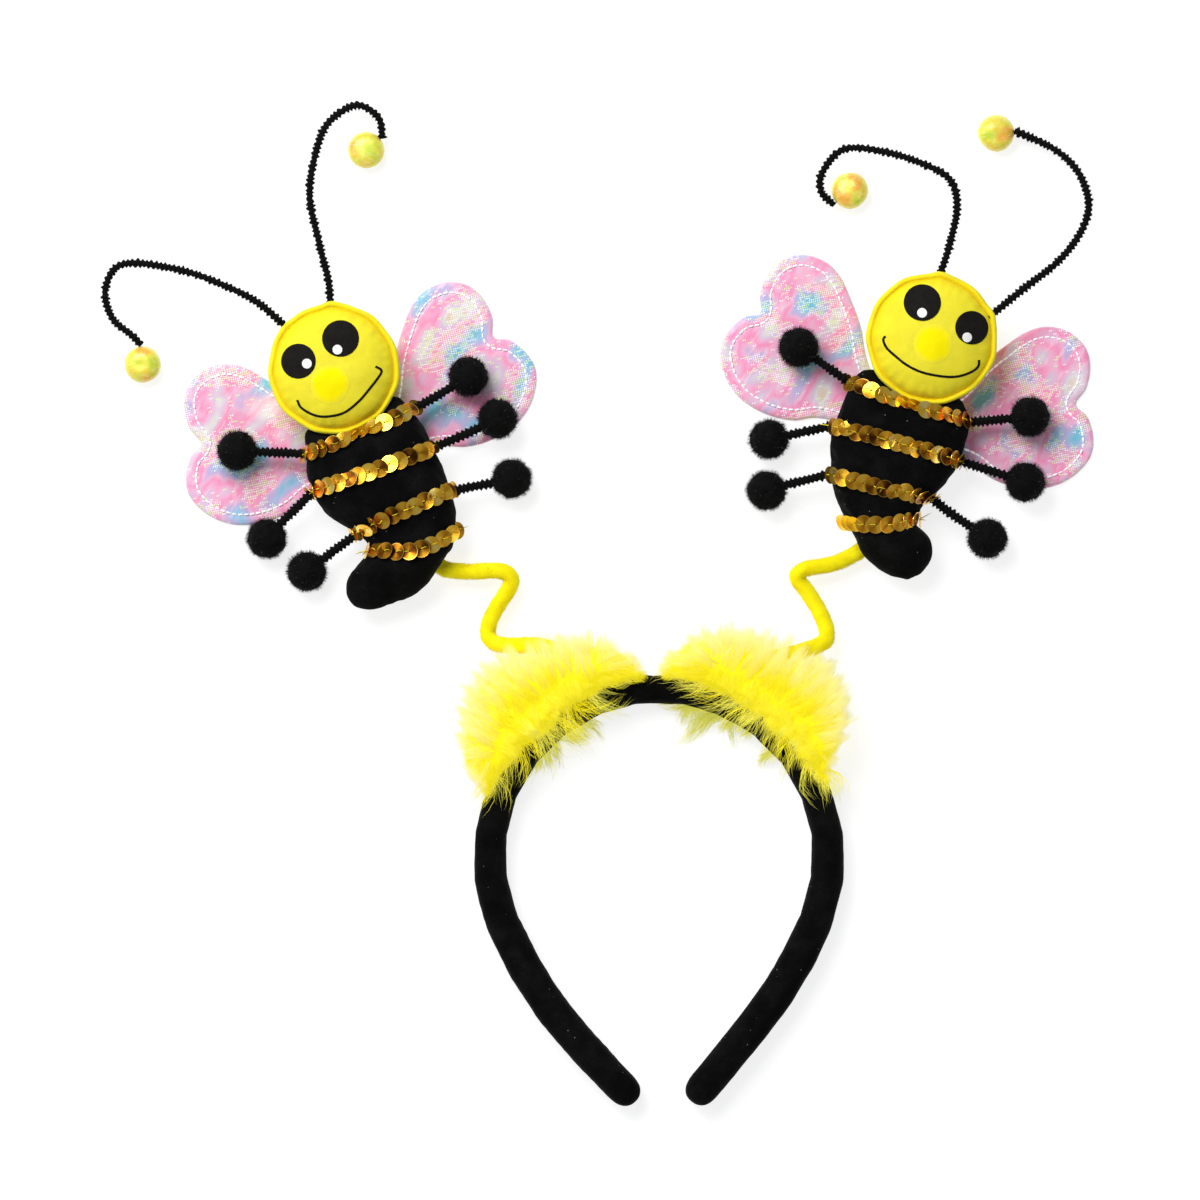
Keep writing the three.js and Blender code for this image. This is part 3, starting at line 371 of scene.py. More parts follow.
# threads crossing at right angles, and the crossings that catch the light, more of them in some places
def buildThreadGrid():
    group, takes, gives = newGroup(
        "threadGrid",
        [("Place", vector, None), ("Pitch", number, 0.9), ("Fewest", number, 0.05), ("Most", number, 0.6)],
        [("Height", number), ("Glints", number), ("Chance", number), ("Streaks", number)])
    drift = addNode(group, "TexNoise", {"Vector": takes["Place"], "Scale": 90.0, "Detail": 1.0})
    bend = addNode(group, "VectorMath", {0: drift.outputs["Color"], "Scale": 0.002}, operation="SCALE")
    moved = addNode(group, "VectorMath", {0: takes["Place"], 1: bend.outputs[0]}, operation="ADD").outputs[0]
    parts = addNode(group, "SeparateXYZ", {0: moved})
    scale = sums(group, "DIVIDE", turnAround * 1000, takes["Pitch"])
    warp = sums(group, "SINE", sums(group, "MULTIPLY", parts.outputs["X"], scale))
    weft = sums(group, "SINE", sums(group, "MULTIPLY", parts.outputs["Y"], scale))
    height = sums(group, "MULTIPLY_ADD", sums(group, "MULTIPLY", warp, weft), 0.5, 0.5)
    group.links.new(height, gives["Height"])
    cell = sums(group, "DIVIDE", takes["Pitch"], 1000.0)
    corner = addNode(group, "CombineXYZ", {"X": cell, "Y": cell, "Z": cell})
    snapped = addNode(group, "VectorMath", {0: moved, 1: corner.outputs[0]}, operation="SNAP").outputs[0]
    random = addNode(group, "TexWhiteNoise", {"Vector": snapped}, noise_dimensions="3D")
    patches = addNode(group, "TexNoise", {"Vector": takes["Place"], "Scale": 62.0, "Detail": 1.0})
    dense = addNode(group, "MapRange", {"Value": patches.outputs["Fac"], "From Min": 0.47, "From Max": 0.57,
                                        "To Min": takes["Fewest"], "To Max": takes["Most"]})
    lucky = sums(group, "LESS_THAN", random.outputs["Value"], dense.outputs["Result"])
    group.links.new(sums(group, "MULTIPLY", lucky, sums(group, "GREATER_THAN", height, 0.58)), gives["Glints"])
    chance = addNode(group, "SeparateColor", {0: random.outputs["Color"]})
    group.links.new(chance.outputs[1], gives["Chance"])
    stretch = addNode(group, "Mapping", {"Vector": moved, "Scale": (1.0, 0.2, 1.0)})
    streaks = addNode(group, "TexNoise", {
        "Vector": stretch.outputs[0], "Scale": 520.0, "Detail": 2.0, "Roughness": 0.7})
    group.links.new(streaks.outputs["Fac"], gives["Streaks"])
    return group


# small bits of pale fluff caught in dark cloth
def buildLint():
    group, takes, gives = newGroup(
        "lint", [("Place", vector, None), ("Spacing", number, 3.0), ("Share", number, 0.2)], [("Mask", number)])
    scale = sums(group, "DIVIDE", 1000.0, takes["Spacing"])
    cells = addNode(group, "TexVoronoi", {"Vector": takes["Place"], "Scale": scale})
    chance = addNode(group, "SeparateColor", {0: cells.outputs["Color"]})
    lucky = sums(group, "LESS_THAN", chance.outputs[1], takes["Share"])
    near = sums(group, "LESS_THAN", cells.outputs["Distance"], 0.07)
    group.links.new(sums(group, "MULTIPLY", lucky, near), gives["Mask"])
    return group


clothGrain, threadGrid, lint = buildClothGrain(), buildThreadGrid(), buildLint()


def useGroup(tree, group, sockets):
    return addNode(tree, "Group", sockets, node_tree=group).outputs


def newFinish(name, **sockets):
    material = bpy.data.materials.new(name)
    material.use_nodes = True
    tree = material.node_tree
    shader = tree.nodes["Principled BSDF"]
    for key, value in sockets.items():
        shader.inputs[key.replace("_", " ")].default_value = value
    return material, tree, shader


def raised(tree, shader, height, strength, distance):
    bump = addNode(tree, "Bump", {"Height": height, "Strength": strength, "Distance": distance * mm})
    tree.links.new(bump.outputs["Normal"], shader.inputs["Normal"])


def toneOf(tree):
    return addNode(tree, "Attribute", attribute_name="tone").outputs["Fac"]


def placeOf(tree):
    return addNode(tree, "TexCoord").outputs["Object"]


# cloth that stands up by its grain's height; patches and grain are sizes in mm, share is the grain's part
def clothFinish(name, patches, grain, share, strength, height, **sockets):
    material, tree, shader = newFinish(name, **sockets)
    made = useGroup(tree, clothGrain, {
        "Place": placeOf(tree), "Patch Size": patches, "Grain Size": grain, "Grain": share})
    raised(tree, shader, made["Height"], strength, height)
    return material, tree, shader, made["Mottle"]


def velvetFinish():
    material, tree, shader, mottle = clothFinish(
        "velvetBlack", 9.0, 0.35, 0.45, 0.6, 0.25, Roughness=0.95, Specular_IOR_Level=0.05,
        Sheen_Weight=0.12, Sheen_Roughness=0.35, Sheen_Tint=(0.35, 0.36, 0.34, 1))
    pile = ramp(tree, mottle, [(0.3, 0.0008), (0.5, 0.0028), (0.72, 0.009)])
    fluff = useGroup(tree, lint, {"Place": placeOf(tree), "Spacing": 2.6, "Share": 0.22})
    tree.links.new(mixed(tree, fluff["Mask"], pile, (0.22, 0.23, 0.2)), shader.inputs["Base Color"])
    return material


def marabouFinish():
    material, tree, shader = newFinish(
        "marabouYellow", Roughness=0.8, Specular_IOR_Level=0.05, Sheen_Weight=0.1,
        Sheen_Tint=(1, 1, 0.35, 1), Emission_Strength=0.7)
    # low tones are darker olive, used as painted shade on the barbs that come from under the band
    colour = ramp(tree, toneOf(tree), [
        (0.0, (0.36, 0.36, 0.06)), (0.2, (0.51, 0.50, 0.09)), (0.36, (0.66, 0.62, 0.08)),
        (0.48, (0.65, 0.565, 0.0)), (0.66, (0.67, 0.585, 0.02)), (0.82, (0.67, 0.605, 0.13)),
        (1.0, (0.68, 0.64, 0.28))])
    tree.links.new(colour, shader.inputs["Base Color"])
    # the barbs glow in their own colour: painted light standing in for light that shines through the thin barbs
    tree.links.new(colour, shader.inputs["Emission Color"])
    return material


def plushFinish():
    material, tree, shader, mottle = clothFinish(
        "plushYellow", 5.0, 0.5, 0.4, 0.5, 0.3, Roughness=0.85, Specular_IOR_Level=0.15,
        Sheen_Weight=0.3, Sheen_Tint=(1, 1, 0.2, 1))
    spread = sums(tree, "ADD", mottle, sums(tree, "MULTIPLY", toneOf(tree), 0.3))
    colour = ramp(tree, spread, [(0.35, (0.82, 0.66, 0.0)), (0.6, (1.0, 0.86, 0.0)), (0.85, (1.0, 0.92, 0.02))])
    tree.links.new(colour, shader.inputs["Base Color"])
    return material


# tone on a head is how far out a point lies: 0 in the middle, 1 on the rim
def feltFinish():
    material, tree, shader, mottle = clothFinish(
        "feltYellow", 7.0, 0.45, 0.4, 0.45, 0.25, Roughness=0.9, Specular_IOR_Level=0.12,
        Sheen_Weight=0.2, Sheen_Tint=(1, 1, 0.4, 1))
    # the darker orange ring at the groove is painted shade in the groove, together with the stitch line's own colour
    ring = ramp(tree, toneOf(tree), [
        (0.0, (0.90, 0.79, 0.045)), (0.78, (0.93, 0.81, 0.03)), (0.885, (0.97, 0.78, 0.01)),
        (0.912, (0.86, 0.60, 0.0)), (0.935, (0.95, 0.79, 0.01)), (0.96, (0.98, 0.83, 0.02)),
        (1.0, (0.96, 0.82, 0.03))])
    shade = ramp(tree, mottle, [(0.32, 0.86), (0.5, 0.96), (0.68, 1.0)])
    tree.links.new(mixed(tree, 1.0, ring, shade, "MULTIPLY"), shader.inputs["Base Color"])
    return material


# tone on a nose is the distance from its middle; the bright colour fades out unevenly near its edge
def noseFinish():
    material, tree, shader, mottle = clothFinish(
        "noseYellow", 3.5, 0.45, 0.35, 0.4, 0.2, Roughness=0.85, Specular_IOR_Level=0.1)
    spread = sums(tree, "MULTIPLY_ADD", mottle, 0.7, sums(tree, "SUBTRACT", toneOf(tree), 0.35))
    colour = ramp(tree, spread, [
        (0.70, (1.0, 0.86, 0.0)), (0.86, (0.97, 0.83, 0.015)), (1.0, (0.91, 0.80, 0.042))])
    tree.links.new(colour, shader.inputs["Base Color"])
    return material


def plainFinish(name, dark, light, roughness, grainSize=0.5, strength=0.3, glow=0.0):
    material, tree, shader, mottle = clothFinish(
        name, 4.0, grainSize, 0.5, strength, 0.12, Roughness=roughness, Specular_IOR_Level=0.12,
        Emission_Color=(*light, 1), Emission_Strength=glow)
    tree.links.new(ramp(tree, mottle, [(0.35, dark), (0.65, light)]), shader.inputs["Base Color"])
    return material


# each disc is painted with two opposite bright wedges, a painted reflection like that of a turned or stamped metal
# face; the disc's tone paints its reflection brighter or darker
def sequinFinish():
    material, tree, shader = newFinish("sequinGold", Metallic=0.95, Roughness=0.25)
    disc = addNode(tree, "UVMap", uv_map="spokes").outputs["UV"]
    spokes = addNode(tree, "SeparateXYZ", {0: disc})
    lobes = sums(tree, "COSINE", sums(tree, "MULTIPLY", spokes.outputs["X"], 2 * turnAround))
    stretched = addNode(tree, "Mapping", {"Vector": disc, "Scale": (40.0, 0.5, 1.0)}).outputs[0]
    brushed = addNode(tree, "TexNoise", {"Vector": stretched, "Scale": 1.0, "Detail": 2.0})
    shine = sums(tree, "MULTIPLY_ADD", lobes, 0.17, toneOf(tree))
    shine = sums(tree, "ADD", shine, sums(tree, "MULTIPLY_ADD", brushed.outputs["Fac"], 0.22, -0.11))
    colour = ramp(tree, shine, [
        (0.0, (0.07, 0.022, 0.001)), (0.2, (0.28, 0.10, 0.006)), (0.42, (0.72, 0.34, 0.018)),
        (0.62, (0.97, 0.55, 0.045)), (0.82, (1.0, 0.64, 0.08)), (1.0, (1.0, 0.80, 0.26))])
    # a painted highlight along the rim of each disc
    rim = ramp(tree, spokes.outputs["Y"], [(0.88, 0.0), (0.94, 0.28)])
    tree.links.new(mixed(tree, rim, colour, (1.0, 0.70, 0.15)), shader.inputs["Base Color"])
    raised(tree, shader, brushed.outputs["Fac"], 0.12, 0.1)
    return material


# film cloth that shifts from rose to lilac, blue and cream in woven strokes, with rows of painted sparkles
def pearlFinish():
    material, tree, shader = newFinish(
        "pearlWeave", Roughness=0.42, Specular_IOR_Level=0.3, Coat_Weight=0.12, Coat_Roughness=0.3)
    turned = addNode(tree, "Mapping", {
        "Vector": placeOf(tree), "Rotation": (0, 0, 0.55), "Scale": (1, 1, 0)}).outputs[0]
    grid = useGroup(tree, threadGrid, {"Place": turned, "Pitch": 1.12, "Fewest": 0.05, "Most": 0.78})
    strokes = addNode(tree, "Mapping", {"Vector": turned, "Scale": (1.0, 0.6, 1.0)}).outputs[0]
    clouds = addNode(tree, "TexNoise", {"Vector": strokes, "Scale": 88.0, "Detail": 1.5, "Roughness": 0.5})
    film = ramp(tree, clouds.outputs["Fac"], [
        (0.31, (0.15, 0.54, 0.72)), (0.365, (0.36, 0.52, 0.76)), (0.41, (0.54, 0.42, 0.70)),
        (0.45, (0.84, 0.46, 0.66)), (0.51, (0.97, 0.26, 0.49)), (0.565, (0.91, 0.42, 0.61)),
        (0.62, (0.72, 0.54, 0.70)), (0.67, (0.76, 0.72, 0.70)), (0.73, (0.76, 0.58, 0.40))])
    large = addNode(tree, "TexNoise", {"Vector": turned, "Scale": 34.0, "Detail": 1.0}).outputs["Fac"]
    # what is laid over the film, where it starts and ends, and in which colour
    for mask, stops, tint in (
            (grid["Streaks"], [(0.35, 0.25), (0.55, 0.0)], (0.70, 0.58, 0.74)),
            # painted highlight along the pale streaks
            (grid["Streaks"], [(0.54, 0.0), (0.72, 0.40)], (0.98, 0.87, 0.94)),
            (large, [(0.58, 0.0), (0.72, 0.62)], (0.88, 0.84, 0.87)),
            # painted shade in the low places between the threads
            (grid["Height"], [(0.1, 0.14), (0.5, 0.0)], (0.48, 0.38, 0.50)),
            (toneOf(tree), [(0.0, 0.6), (0.09, 0.0)], (0.86, 0.78, 0.86))):
        film = mixed(tree, ramp(tree, mask, stops), film, tint)
    # painted sparkles, white or lime, at raised crossings
    lime = ramp(tree, grid["Chance"], [(0.45, 0.0), (0.65, 1.0)])
    spark = mixed(tree, lime, (1.0, 1.0, 0.98), (0.80, 1.0, 0.42))
    glint = mixed(tree, sums(tree, "MULTIPLY", grid["Glints"], 0.95), film, spark)
    tree.links.new(glint, shader.inputs["Base Color"])
    raised(tree, shader, grid["Height"], 0.35, 0.1)
    return material


def foilFinish():
    material, tree, shader = newFinish("foilYellow", Roughness=0.36, Metallic=0.15, Coat_Weight=0.25)
    turned = addNode(tree, "Mapping", {
        "Vector": placeOf(tree), "Rotation": (0, 0, 0.9), "Scale": (1, 1, 0)}).outputs[0]
    grid = useGroup(tree, threadGrid, {"Place": turned, "Pitch": 0.8, "Fewest": 0.05, "Most": 0.35})
    clouds = addNode(tree, "TexNoise", {"Vector": turned, "Scale": 130.0, "Detail": 1.0})
    film = ramp(tree, clouds.outputs["Fac"], [
        (0.32, (0.60, 0.74, 0.05)), (0.44, (0.84, 0.80, 0.08)), (0.54, (0.92, 0.70, 0.07)),
        (0.64, (1.0, 0.48, 0.08)), (0.74, (0.86, 0.52, 0.03))])
    seam = ramp(tree, toneOf(tree), [(0.86, 0.0), (0.93, 0.55), (1.0, 0.7)])
    rimmed = mixed(tree, seam, film, (1.0, 0.90, 0.16))
    # painted glints at raised crossings
    glint = mixed(tree, sums(tree, "MULTIPLY", grid["Glints"], 0.5), rimmed, (1.0, 0.96, 0.45))
    tree.links.new(glint, shader.inputs["Base Color"])
    raised(tree, shader, grid["Height"], 0.3, 0.1)
    return material


def chenilleFinish():
    material, tree, shader = newFinish(
        "chenilleBlack", Roughness=0.85, Specular_IOR_Level=0.1, Sheen_Weight=0.06,
        Sheen_Roughness=0.4, Sheen_Tint=(0.4, 0.4, 0.42, 1))
    # the top of the ramp is painted grey glints on a few fibres; lower tones darken the grooves of a chenille core as
    # painted shade
    colour = ramp(tree, toneOf(tree), [(0.0, 0.0018), (0.6, 0.0055), (0.9, 0.03), (1.0, 0.15)])
    tree.links.new(colour, shader.inputs["Base Color"])
    return material


velvetBlack, marabouYellow, plushYellow = velvetFinish(), marabouFinish(), plushFinish()
feltYellow, noseYellow, sequinGold = feltFinish(), noseFinish(), sequinFinish()
pearlWeave, foilYellow, chenilleBlack = pearlFinish(), foilFinish(), chenilleFinish()
printedBlack = plainFinish("printedBlack", (0.004, 0.0035, 0.003), (0.012, 0.010, 0.008), 0.8)
printedWhite = plainFinish("printedWhite", (0.86, 0.86, 0.82), (0.97, 0.97, 0.95), 0.6)
# the stitches glow a little: painted light that keeps them white in shade
stitchWhite = plainFinish(
    "stitchWhite", (0.93, 0.92, 0.94), (1.0, 1.0, 1.0), 0.55, grainSize=0.2, strength=0.1, glow=0.25)
threadYellow = plainFinish("threadYellow", (0.80, 0.62, 0.01), (1.0, 0.86, 0.05), 0.5, grainSize=0.2)
print("materials ready")


def fitOut(piece, material, nodes=()):
    piece.data.materials.clear()
    piece.data.materials.append(material)
    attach(piece, "root")
    if nodes:
        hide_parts(*nodes)
    return piece


# ---- the two bees: where each waist and head lies, and how far each leans, in mm and degrees
bees = {
    "left": {"side": 1, "waist": (-107.8, 83.8), "lean": 20, "head": (-123.4, 121.8)},
    "right": {"side": -1, "waist": (90.2, 92.8), "lean": -16, "head": (103.5, 133.2)},
}


def beePlace(bee, across, up):
    lean = math.radians(bee["lean"])
    x = bee["side"] * across
    return np.array([bee["waist"][0] + x * math.cos(lean) - up * math.sin(lean),
                     bee["waist"][1] + x * math.sin(lean) + up * math.cos(lean)])


# ---- padded cloth: the headband and the bodies, which end under the heads
headForm = {"radius": 25.0, "groove": 22.5, "rimTop": 18.6, "rimBase": 15.4, "dome": 9.0, "nape": 7.4,
            "bulge": 0.7, "turns": 108, "clear": 0.4, "steep": 4, "fill": 0.9}
# cap is the most that the cloth may swell; grow and spread are added all round and to the sides
cushions = {
    "headband": {"voxel": 1.6, "smoothing": 6, "pressure": 3.0, "shrink": -0.015, "cap": 0.7, "grow": 0.3,
                 "spread": 0.0, "wobble": (0.1, 0.05), "fill": 0.8},
    "body": {"voxel": 1.5, "smoothing": 14, "pressure": 3.5, "shrink": -0.04, "cap": 1.5, "grow": 0.2,
             "spread": 1.2, "wobble": (0.2, 0.08), "fill": 0.7},
    "enlarge": 10, "frames": 20,
}
floorGap = 0.02


def clothCopy(node, name, settings):
    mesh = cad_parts[node].data.copy()
    mesh.name = name
    piece = placed(name, mesh)
    editing(piece)
    bpy.ops.mesh.remove_doubles(threshold=0.02 * mm)
    bpy.ops.object.mode_set(mode="OBJECT")
    applied(piece, "REMESH", mode="VOXEL", voxel_size=settings["voxel"] * mm)
    applied(piece, "SMOOTH", factor=0.5, iterations=settings["smoothing"])
    return piece


# the cloth solver works better on a bigger piece, so it is swollen at ten times its size
def stuffed(piece, settings):
    scene = bpy.context.scene
    before = pointsOf(piece)
    centre = before.mean(axis=0)
    setPoints(piece, (before - centre) * cushions["enlarge"])
    alone(piece)
    cloth = piece.modifiers.new("Cloth", "CLOTH")
    cloth.settings.use_pressure = True
    cloth.settings.uniform_pressure_force = settings["pressure"]
    cloth.settings.effector_weights.gravity = 0
    cloth.settings.shrink_min = settings["shrink"]
    cloth.point_cache.frame_start = 1
    cloth.point_cache.frame_end = cushions["frames"]
    for step in range(1, cushions["frames"] + 1):
        scene.frame_set(step)
    bpy.ops.object.modifier_apply(modifier="Cloth")
    push = pointsOf(piece) / cushions["enlarge"] + centre - before
    reach = np.linalg.norm(push, axis=1, keepdims=True)
    print("  largest swell", round(float(reach.max()), 2), "mm, mean", round(float(reach.mean()), 2))
    setPoints(piece, before + push * np.minimum(1, settings["cap"] / np.maximum(reach, 1e-6)))
    scene.frame_set(1)


# how high a body may stand: just under its bee's head, and rising steeply past the rim
def underHead(bee, points):
    form = headForm
    far = np.linalg.norm(points[:, :2] - bee["head"], axis=1)
    nape = form["rimBase"] - form["nape"] * np.clip(1 - (far / form["groove"]) ** 2, 0, 1) ** form["bulge"]
    return nape - form["clear"] + form["steep"] * np.maximum(far - form["radius"] - 0.3, 0)


def velvetPiece(node, name, settings, seed, bee=None):
    wide, fine = settings["wobble"]
    piece = clothCopy(node, name, settings)
    stuffed(piece, settings)
    applied(piece, "SUBSURF", levels=1, render_levels=1)
    points, normals = pointsOf(piece), normalsOf(piece)
    wobble = wide * ripples(points, 16, seed) + fine * ripples(points, 5, seed + 1)
    points = points + normals * (wobble + settings["grow"])[:, None] + normals * (1, 1, 0) * settings["spread"]
    if bee:
        points[:, 2] = np.minimum(points[:, 2], underHead(bee, points))
    points[:, 2] = np.maximum(points[:, 2], floorGap)
    setPoints(piece, points)
    return fitOut(smoothed(piece), velvetBlack, [node])


velvetPiece("headband", "headband_velvet", cushions["headband"], 3)
bodies = {name: velvetPiece(name + "_body", name + "_velvet_body", cushions["body"], 11, bee)
          for name, bee in bees.items()}
print("velvet pieces ready")


# ---- heads: a stuffed felt disc with a flat sewn rim, spun from its profile
# bumps on the rim where the feelers come out, as degrees from +X round the head
feelerBumps = {"left": (139, 93.5), "right": (22.8, 82.6)}


def headProfile():
    form = headForm
    inner = form["groove"] * (1 - (1 - np.linspace(0, 1, 17)) ** 1.25)
    curve = (1 - (inner[:-1] / form["groove"]) ** 2) ** form["bulge"]
    top = list(zip(inner[:-1], form["rimTop"] + form["dome"] * curve))
    rim = [(22.55, 18.35), (22.8, 18.0), (23.05, 18.3), (23.6, 18.75), (24.3, 18.65), (24.85, 18.0),
           (25.0, 17.1), (24.9, 16.2), (24.3, 15.6), (23.4, 15.3), (22.9, 15.6), (22.6, 15.75)]
    base = list(zip(inner[:-1], form["rimBase"] - form["nape"] * curve))
    return top + rim + base[::-1]


def feltHead(name, seed):
    form, bee = headForm, bees[name]
    profile = [(r * mm, 0, z * mm) for r, z in headProfile()]
    mesh = bpy.data.meshes.new(name + "_felt_head")
    mesh.from_pydata(profile, [(at, at + 1) for at in range(len(profile) - 1)], [])
    head = placed(mesh.name, mesh)
    editing(head)
    bpy.ops.mesh.spin(steps=form["turns"], angle=turnAround, center=(0, 0, 0), axis=(0, 0, 1))
    bpy.ops.mesh.select_all(action="SELECT")
    bpy.ops.mesh.remove_doubles(threshold=0.01 * mm)
    bpy.ops.mesh.normals_make_consistent(inside=False)
    bpy.ops.object.mode_set(mode="OBJECT")
    points = pointsOf(head)
    radius = np.linalg.norm(points[:, :2], axis=1)
    angle = np.arctan2(points[:, 1], points[:, 0])
    circle = np.stack([np.cos(angle), np.sin(angle)], axis=1) * 20
    setTone(head, radius / form["radius"])
    # the rim is a little angular, and swells where each feeler comes out
    angular = 0.007 * np.cos(11 * angle + seed) + 0.006 * ripples(circle, 16, seed)
    swell = 1 + angular * (radius / form["radius"]) ** 2
    for degrees in feelerBumps[name]:
        apart = np.angle(np.exp(1j * (angle - math.radians(degrees))))
        swell += 0.03 * np.exp(-(apart / math.radians(5)) ** 2) * np.clip((radius - 21) / 3, 0, 1)
    edge = np.exp(-((form["groove"] - radius) / 3.2) ** 2) * (radius < form["groove"])
    pucker = 0.32 * edge * np.cos(31 * angle + 2 * ripples(circle, 22, seed + 2))
    rimWave = 0.28 * np.clip((radius - 22) / 2, 0, 1) * ripples(circle, 9, seed + 4)
    inside = np.clip(1 - radius / form["groove"], 0, 1) ** 0.5
    lumps = 0.30 * ripples(points, 15, seed + 6) * inside + 0.07 * ripples(points, 4, seed + 7)
    above = np.where(points[:, 2] > 17, 1, -1)
    points[:, :2] *= swell[:, None]
    points[:, 2] += above * (pucker + lumps) + rimWave
    points[:, :2] += bee["head"]
    setPoints(head, points)
    applied(head, "SUBSURF", levels=1, render_levels=1)
    return fitOut(smoothed(head), feltYellow, [name + "_head"])


def surfaceOf(piece):
    return BVHTree.FromObject(piece, bpy.context.evaluated_depsgraph_get())


def topOf(surface, x, y):
    hit = surface.ray_cast(Vector((x * mm, y * mm, 0.08)), Vector((0, 0, -1)))
    if hit[0] is None:
        hit = surface.find_nearest(Vector((x * mm, y * mm, 0.012)))
    return hit[0] / mm, hit[1]


# lays a flat piece made at z = 0 on the surface below it, keeping its thickness
def laidOn(piece, surface, lift):
    points = pointsOf(piece)
    for at, (x, y, z) in enumerate(points):
        points[at, 2] = topOf(surface, x, y)[0].z + lift + z
    setPoints(piece, points)
    return piece


# a round patch: a circle filled with rings, then given a thin wall and a softly raised middle
def patch(name, centre, radius, rise, rings, fullness=0.6):
    bpy.ops.object.select_all(action="DESELECT")
    bpy.ops.mesh.primitive_circle_add(vertices=48, radius=radius * mm, fill_type="NGON",
                                      location=(centre[0] * mm, centre[1] * mm, 0))
    piece = calledAs(name)
    editing(piece)
    for ring in range(rings):
        bpy.ops.mesh.inset(thickness=radius * mm / (rings + 1), depth=0)
    bpy.ops.mesh.poke()
    bpy.ops.object.mode_set(mode="OBJECT")
    bpy.ops.object.transform_apply(location=True, rotation=True, scale=True)
    applied(piece, "SOLIDIFY", thickness=faceForm["wall"] * mm, offset=0)
    points = pointsOf(piece)
    apart = np.linalg.norm(points[:, :2] - np.array(centre), axis=1) / radius
    points[:, 2] += rise * np.clip(1 - apart ** 2, 0, 1) ** fullness * (points[:, 2] > 0)
    setPoints(piece, points)
    setTone(piece, apart)
    return smoothed(piece, 50)


faces = {
    "left": {
        "eye_outer": (-136.7, 124.5, 6.65), "eye_inner": (-120.7, 133.1, 7.0),
        "glints": ((-10.5, 46.1), (2.2, 47.1)), "nose": (-5.0, 35.6),
        "mouth": [(-137.2, 109.8), (-135.7, 106.9), (-131.1, 104.2), (-126.1, 103.5), (-119.6, 104.9),
                  (-114.0, 109.1), (-109.4, 114.4), (-105.7, 119.4), (-105.3, 121.2), (-107.5, 122.5)]},
    "right": {
        "eye_outer": (118.5, 137.2, 6.4), "eye_inner": (99.7, 146.7, 7.05),
        "glints": ((-14.2, 46.4), (4.8, 50.6)), "nose": (-2.4, 40.4),
        "mouth": [(121.3, 125.0), (121.0, 122.5), (118.1, 120.3), (113.0, 118.7), (107.4, 118.7),
                  (99.7, 120.2), (94.0, 122.9), (89.5, 126.4), (86.1, 129.7), (84.9, 132.8), (85.8, 133.9)]},
}
faceForm = {"wall": 0.16, "glintRadius": 1.85, "noseRadius": 7.3, "noseRise": 0.42, "lineRadius": 0.46,
            "lineFlatness": 0.45, "eyeLift": 0.12, "glintLift": 0.34, "noseLift": 0.02, "mouthLift": 0.1}

for name, bee in bees.items():
    face = faces[name]
    head = feltHead(name, 21 if name == "left" else 47)
    surface = surfaceOf(head)
    for eye in ("eye_outer", "eye_inner"):
        x, y, radius = face[eye]
        piece = laidOn(patch(name + "_print_" + eye, (x, y), radius, 0.1, 6), surface, faceForm["eyeLift"])
        fitOut(piece, printedBlack, [name + "_" + eye])
    glints = []
    for across, up in face["glints"]:
        glint = patch("glint", beePlace(bee, across, up), faceForm["glintRadius"], 0.05, 2)
        glints.append(laidOn(glint, surface, faceForm["glintLift"]))
    fitOut(joined(glints, name + "_eye_glints"), printedWhite)
    spot = beePlace(bee, *face["nose"])
    nose = patch(name + "_nose", spot, faceForm["noseRadius"], faceForm["noseRise"], 6, fullness=1.2)
    fitOut(laidOn(nose, surface, faceForm["noseLift"]), noseYellow)
    line = roundedRoute([(x, y, 0) for x, y in face["mouth"]], 0.8)
    mouth = cordPiece(name + "_print_mouth", line, faceForm["lineRadius"], 8)
    setPoints(mouth, pointsOf(mouth) * (1, 1, faceForm["lineFlatness"]))
    fitOut(laidOn(mouth, surface, faceForm["mouthLift"]), printedBlack, [name + "_mouth"])
print("heads ready")


# ---- sequins: one disc, modelled once, then lapped along each stripe with its thread
sequinForm = {"rings": (3.4, 2.95, 1.2, 0.42), "radius": 3.4, "cup": 0.22, "sides": 24, "thickness": 0.14,
              "pitch": 4.1, "lift": 0.78, "lap": 12.0, "shineTurn": 125, "facing": 0.45, "step": 0.5}
stripes = {
    "left": [((-134.4, 88.9), (-113.4, 96.8), (-93.0, 106.6)),
             ((-132.0, 75.1), (-108.2, 83.0), (-84.9, 92.4)),
             ((-115.6, 59.2), (-97.2, 67.9), (-78.6, 75.7)),
             ((-110.0, 52.6), (-92.3, 52.8), (-77.3, 60.3))],
    "right": [((117.9, 101.6), (94.8, 107.7), (72.5, 116.4)),
              ((114.8, 86.7), (90.2, 93.5), (65.6, 100.1)),
              ((103.7, 72.8), (83.9, 76.7), (64.5, 81.9)),
              ((98.3, 64.7), (84.0, 62.7), (70.5, 63.7))],
}


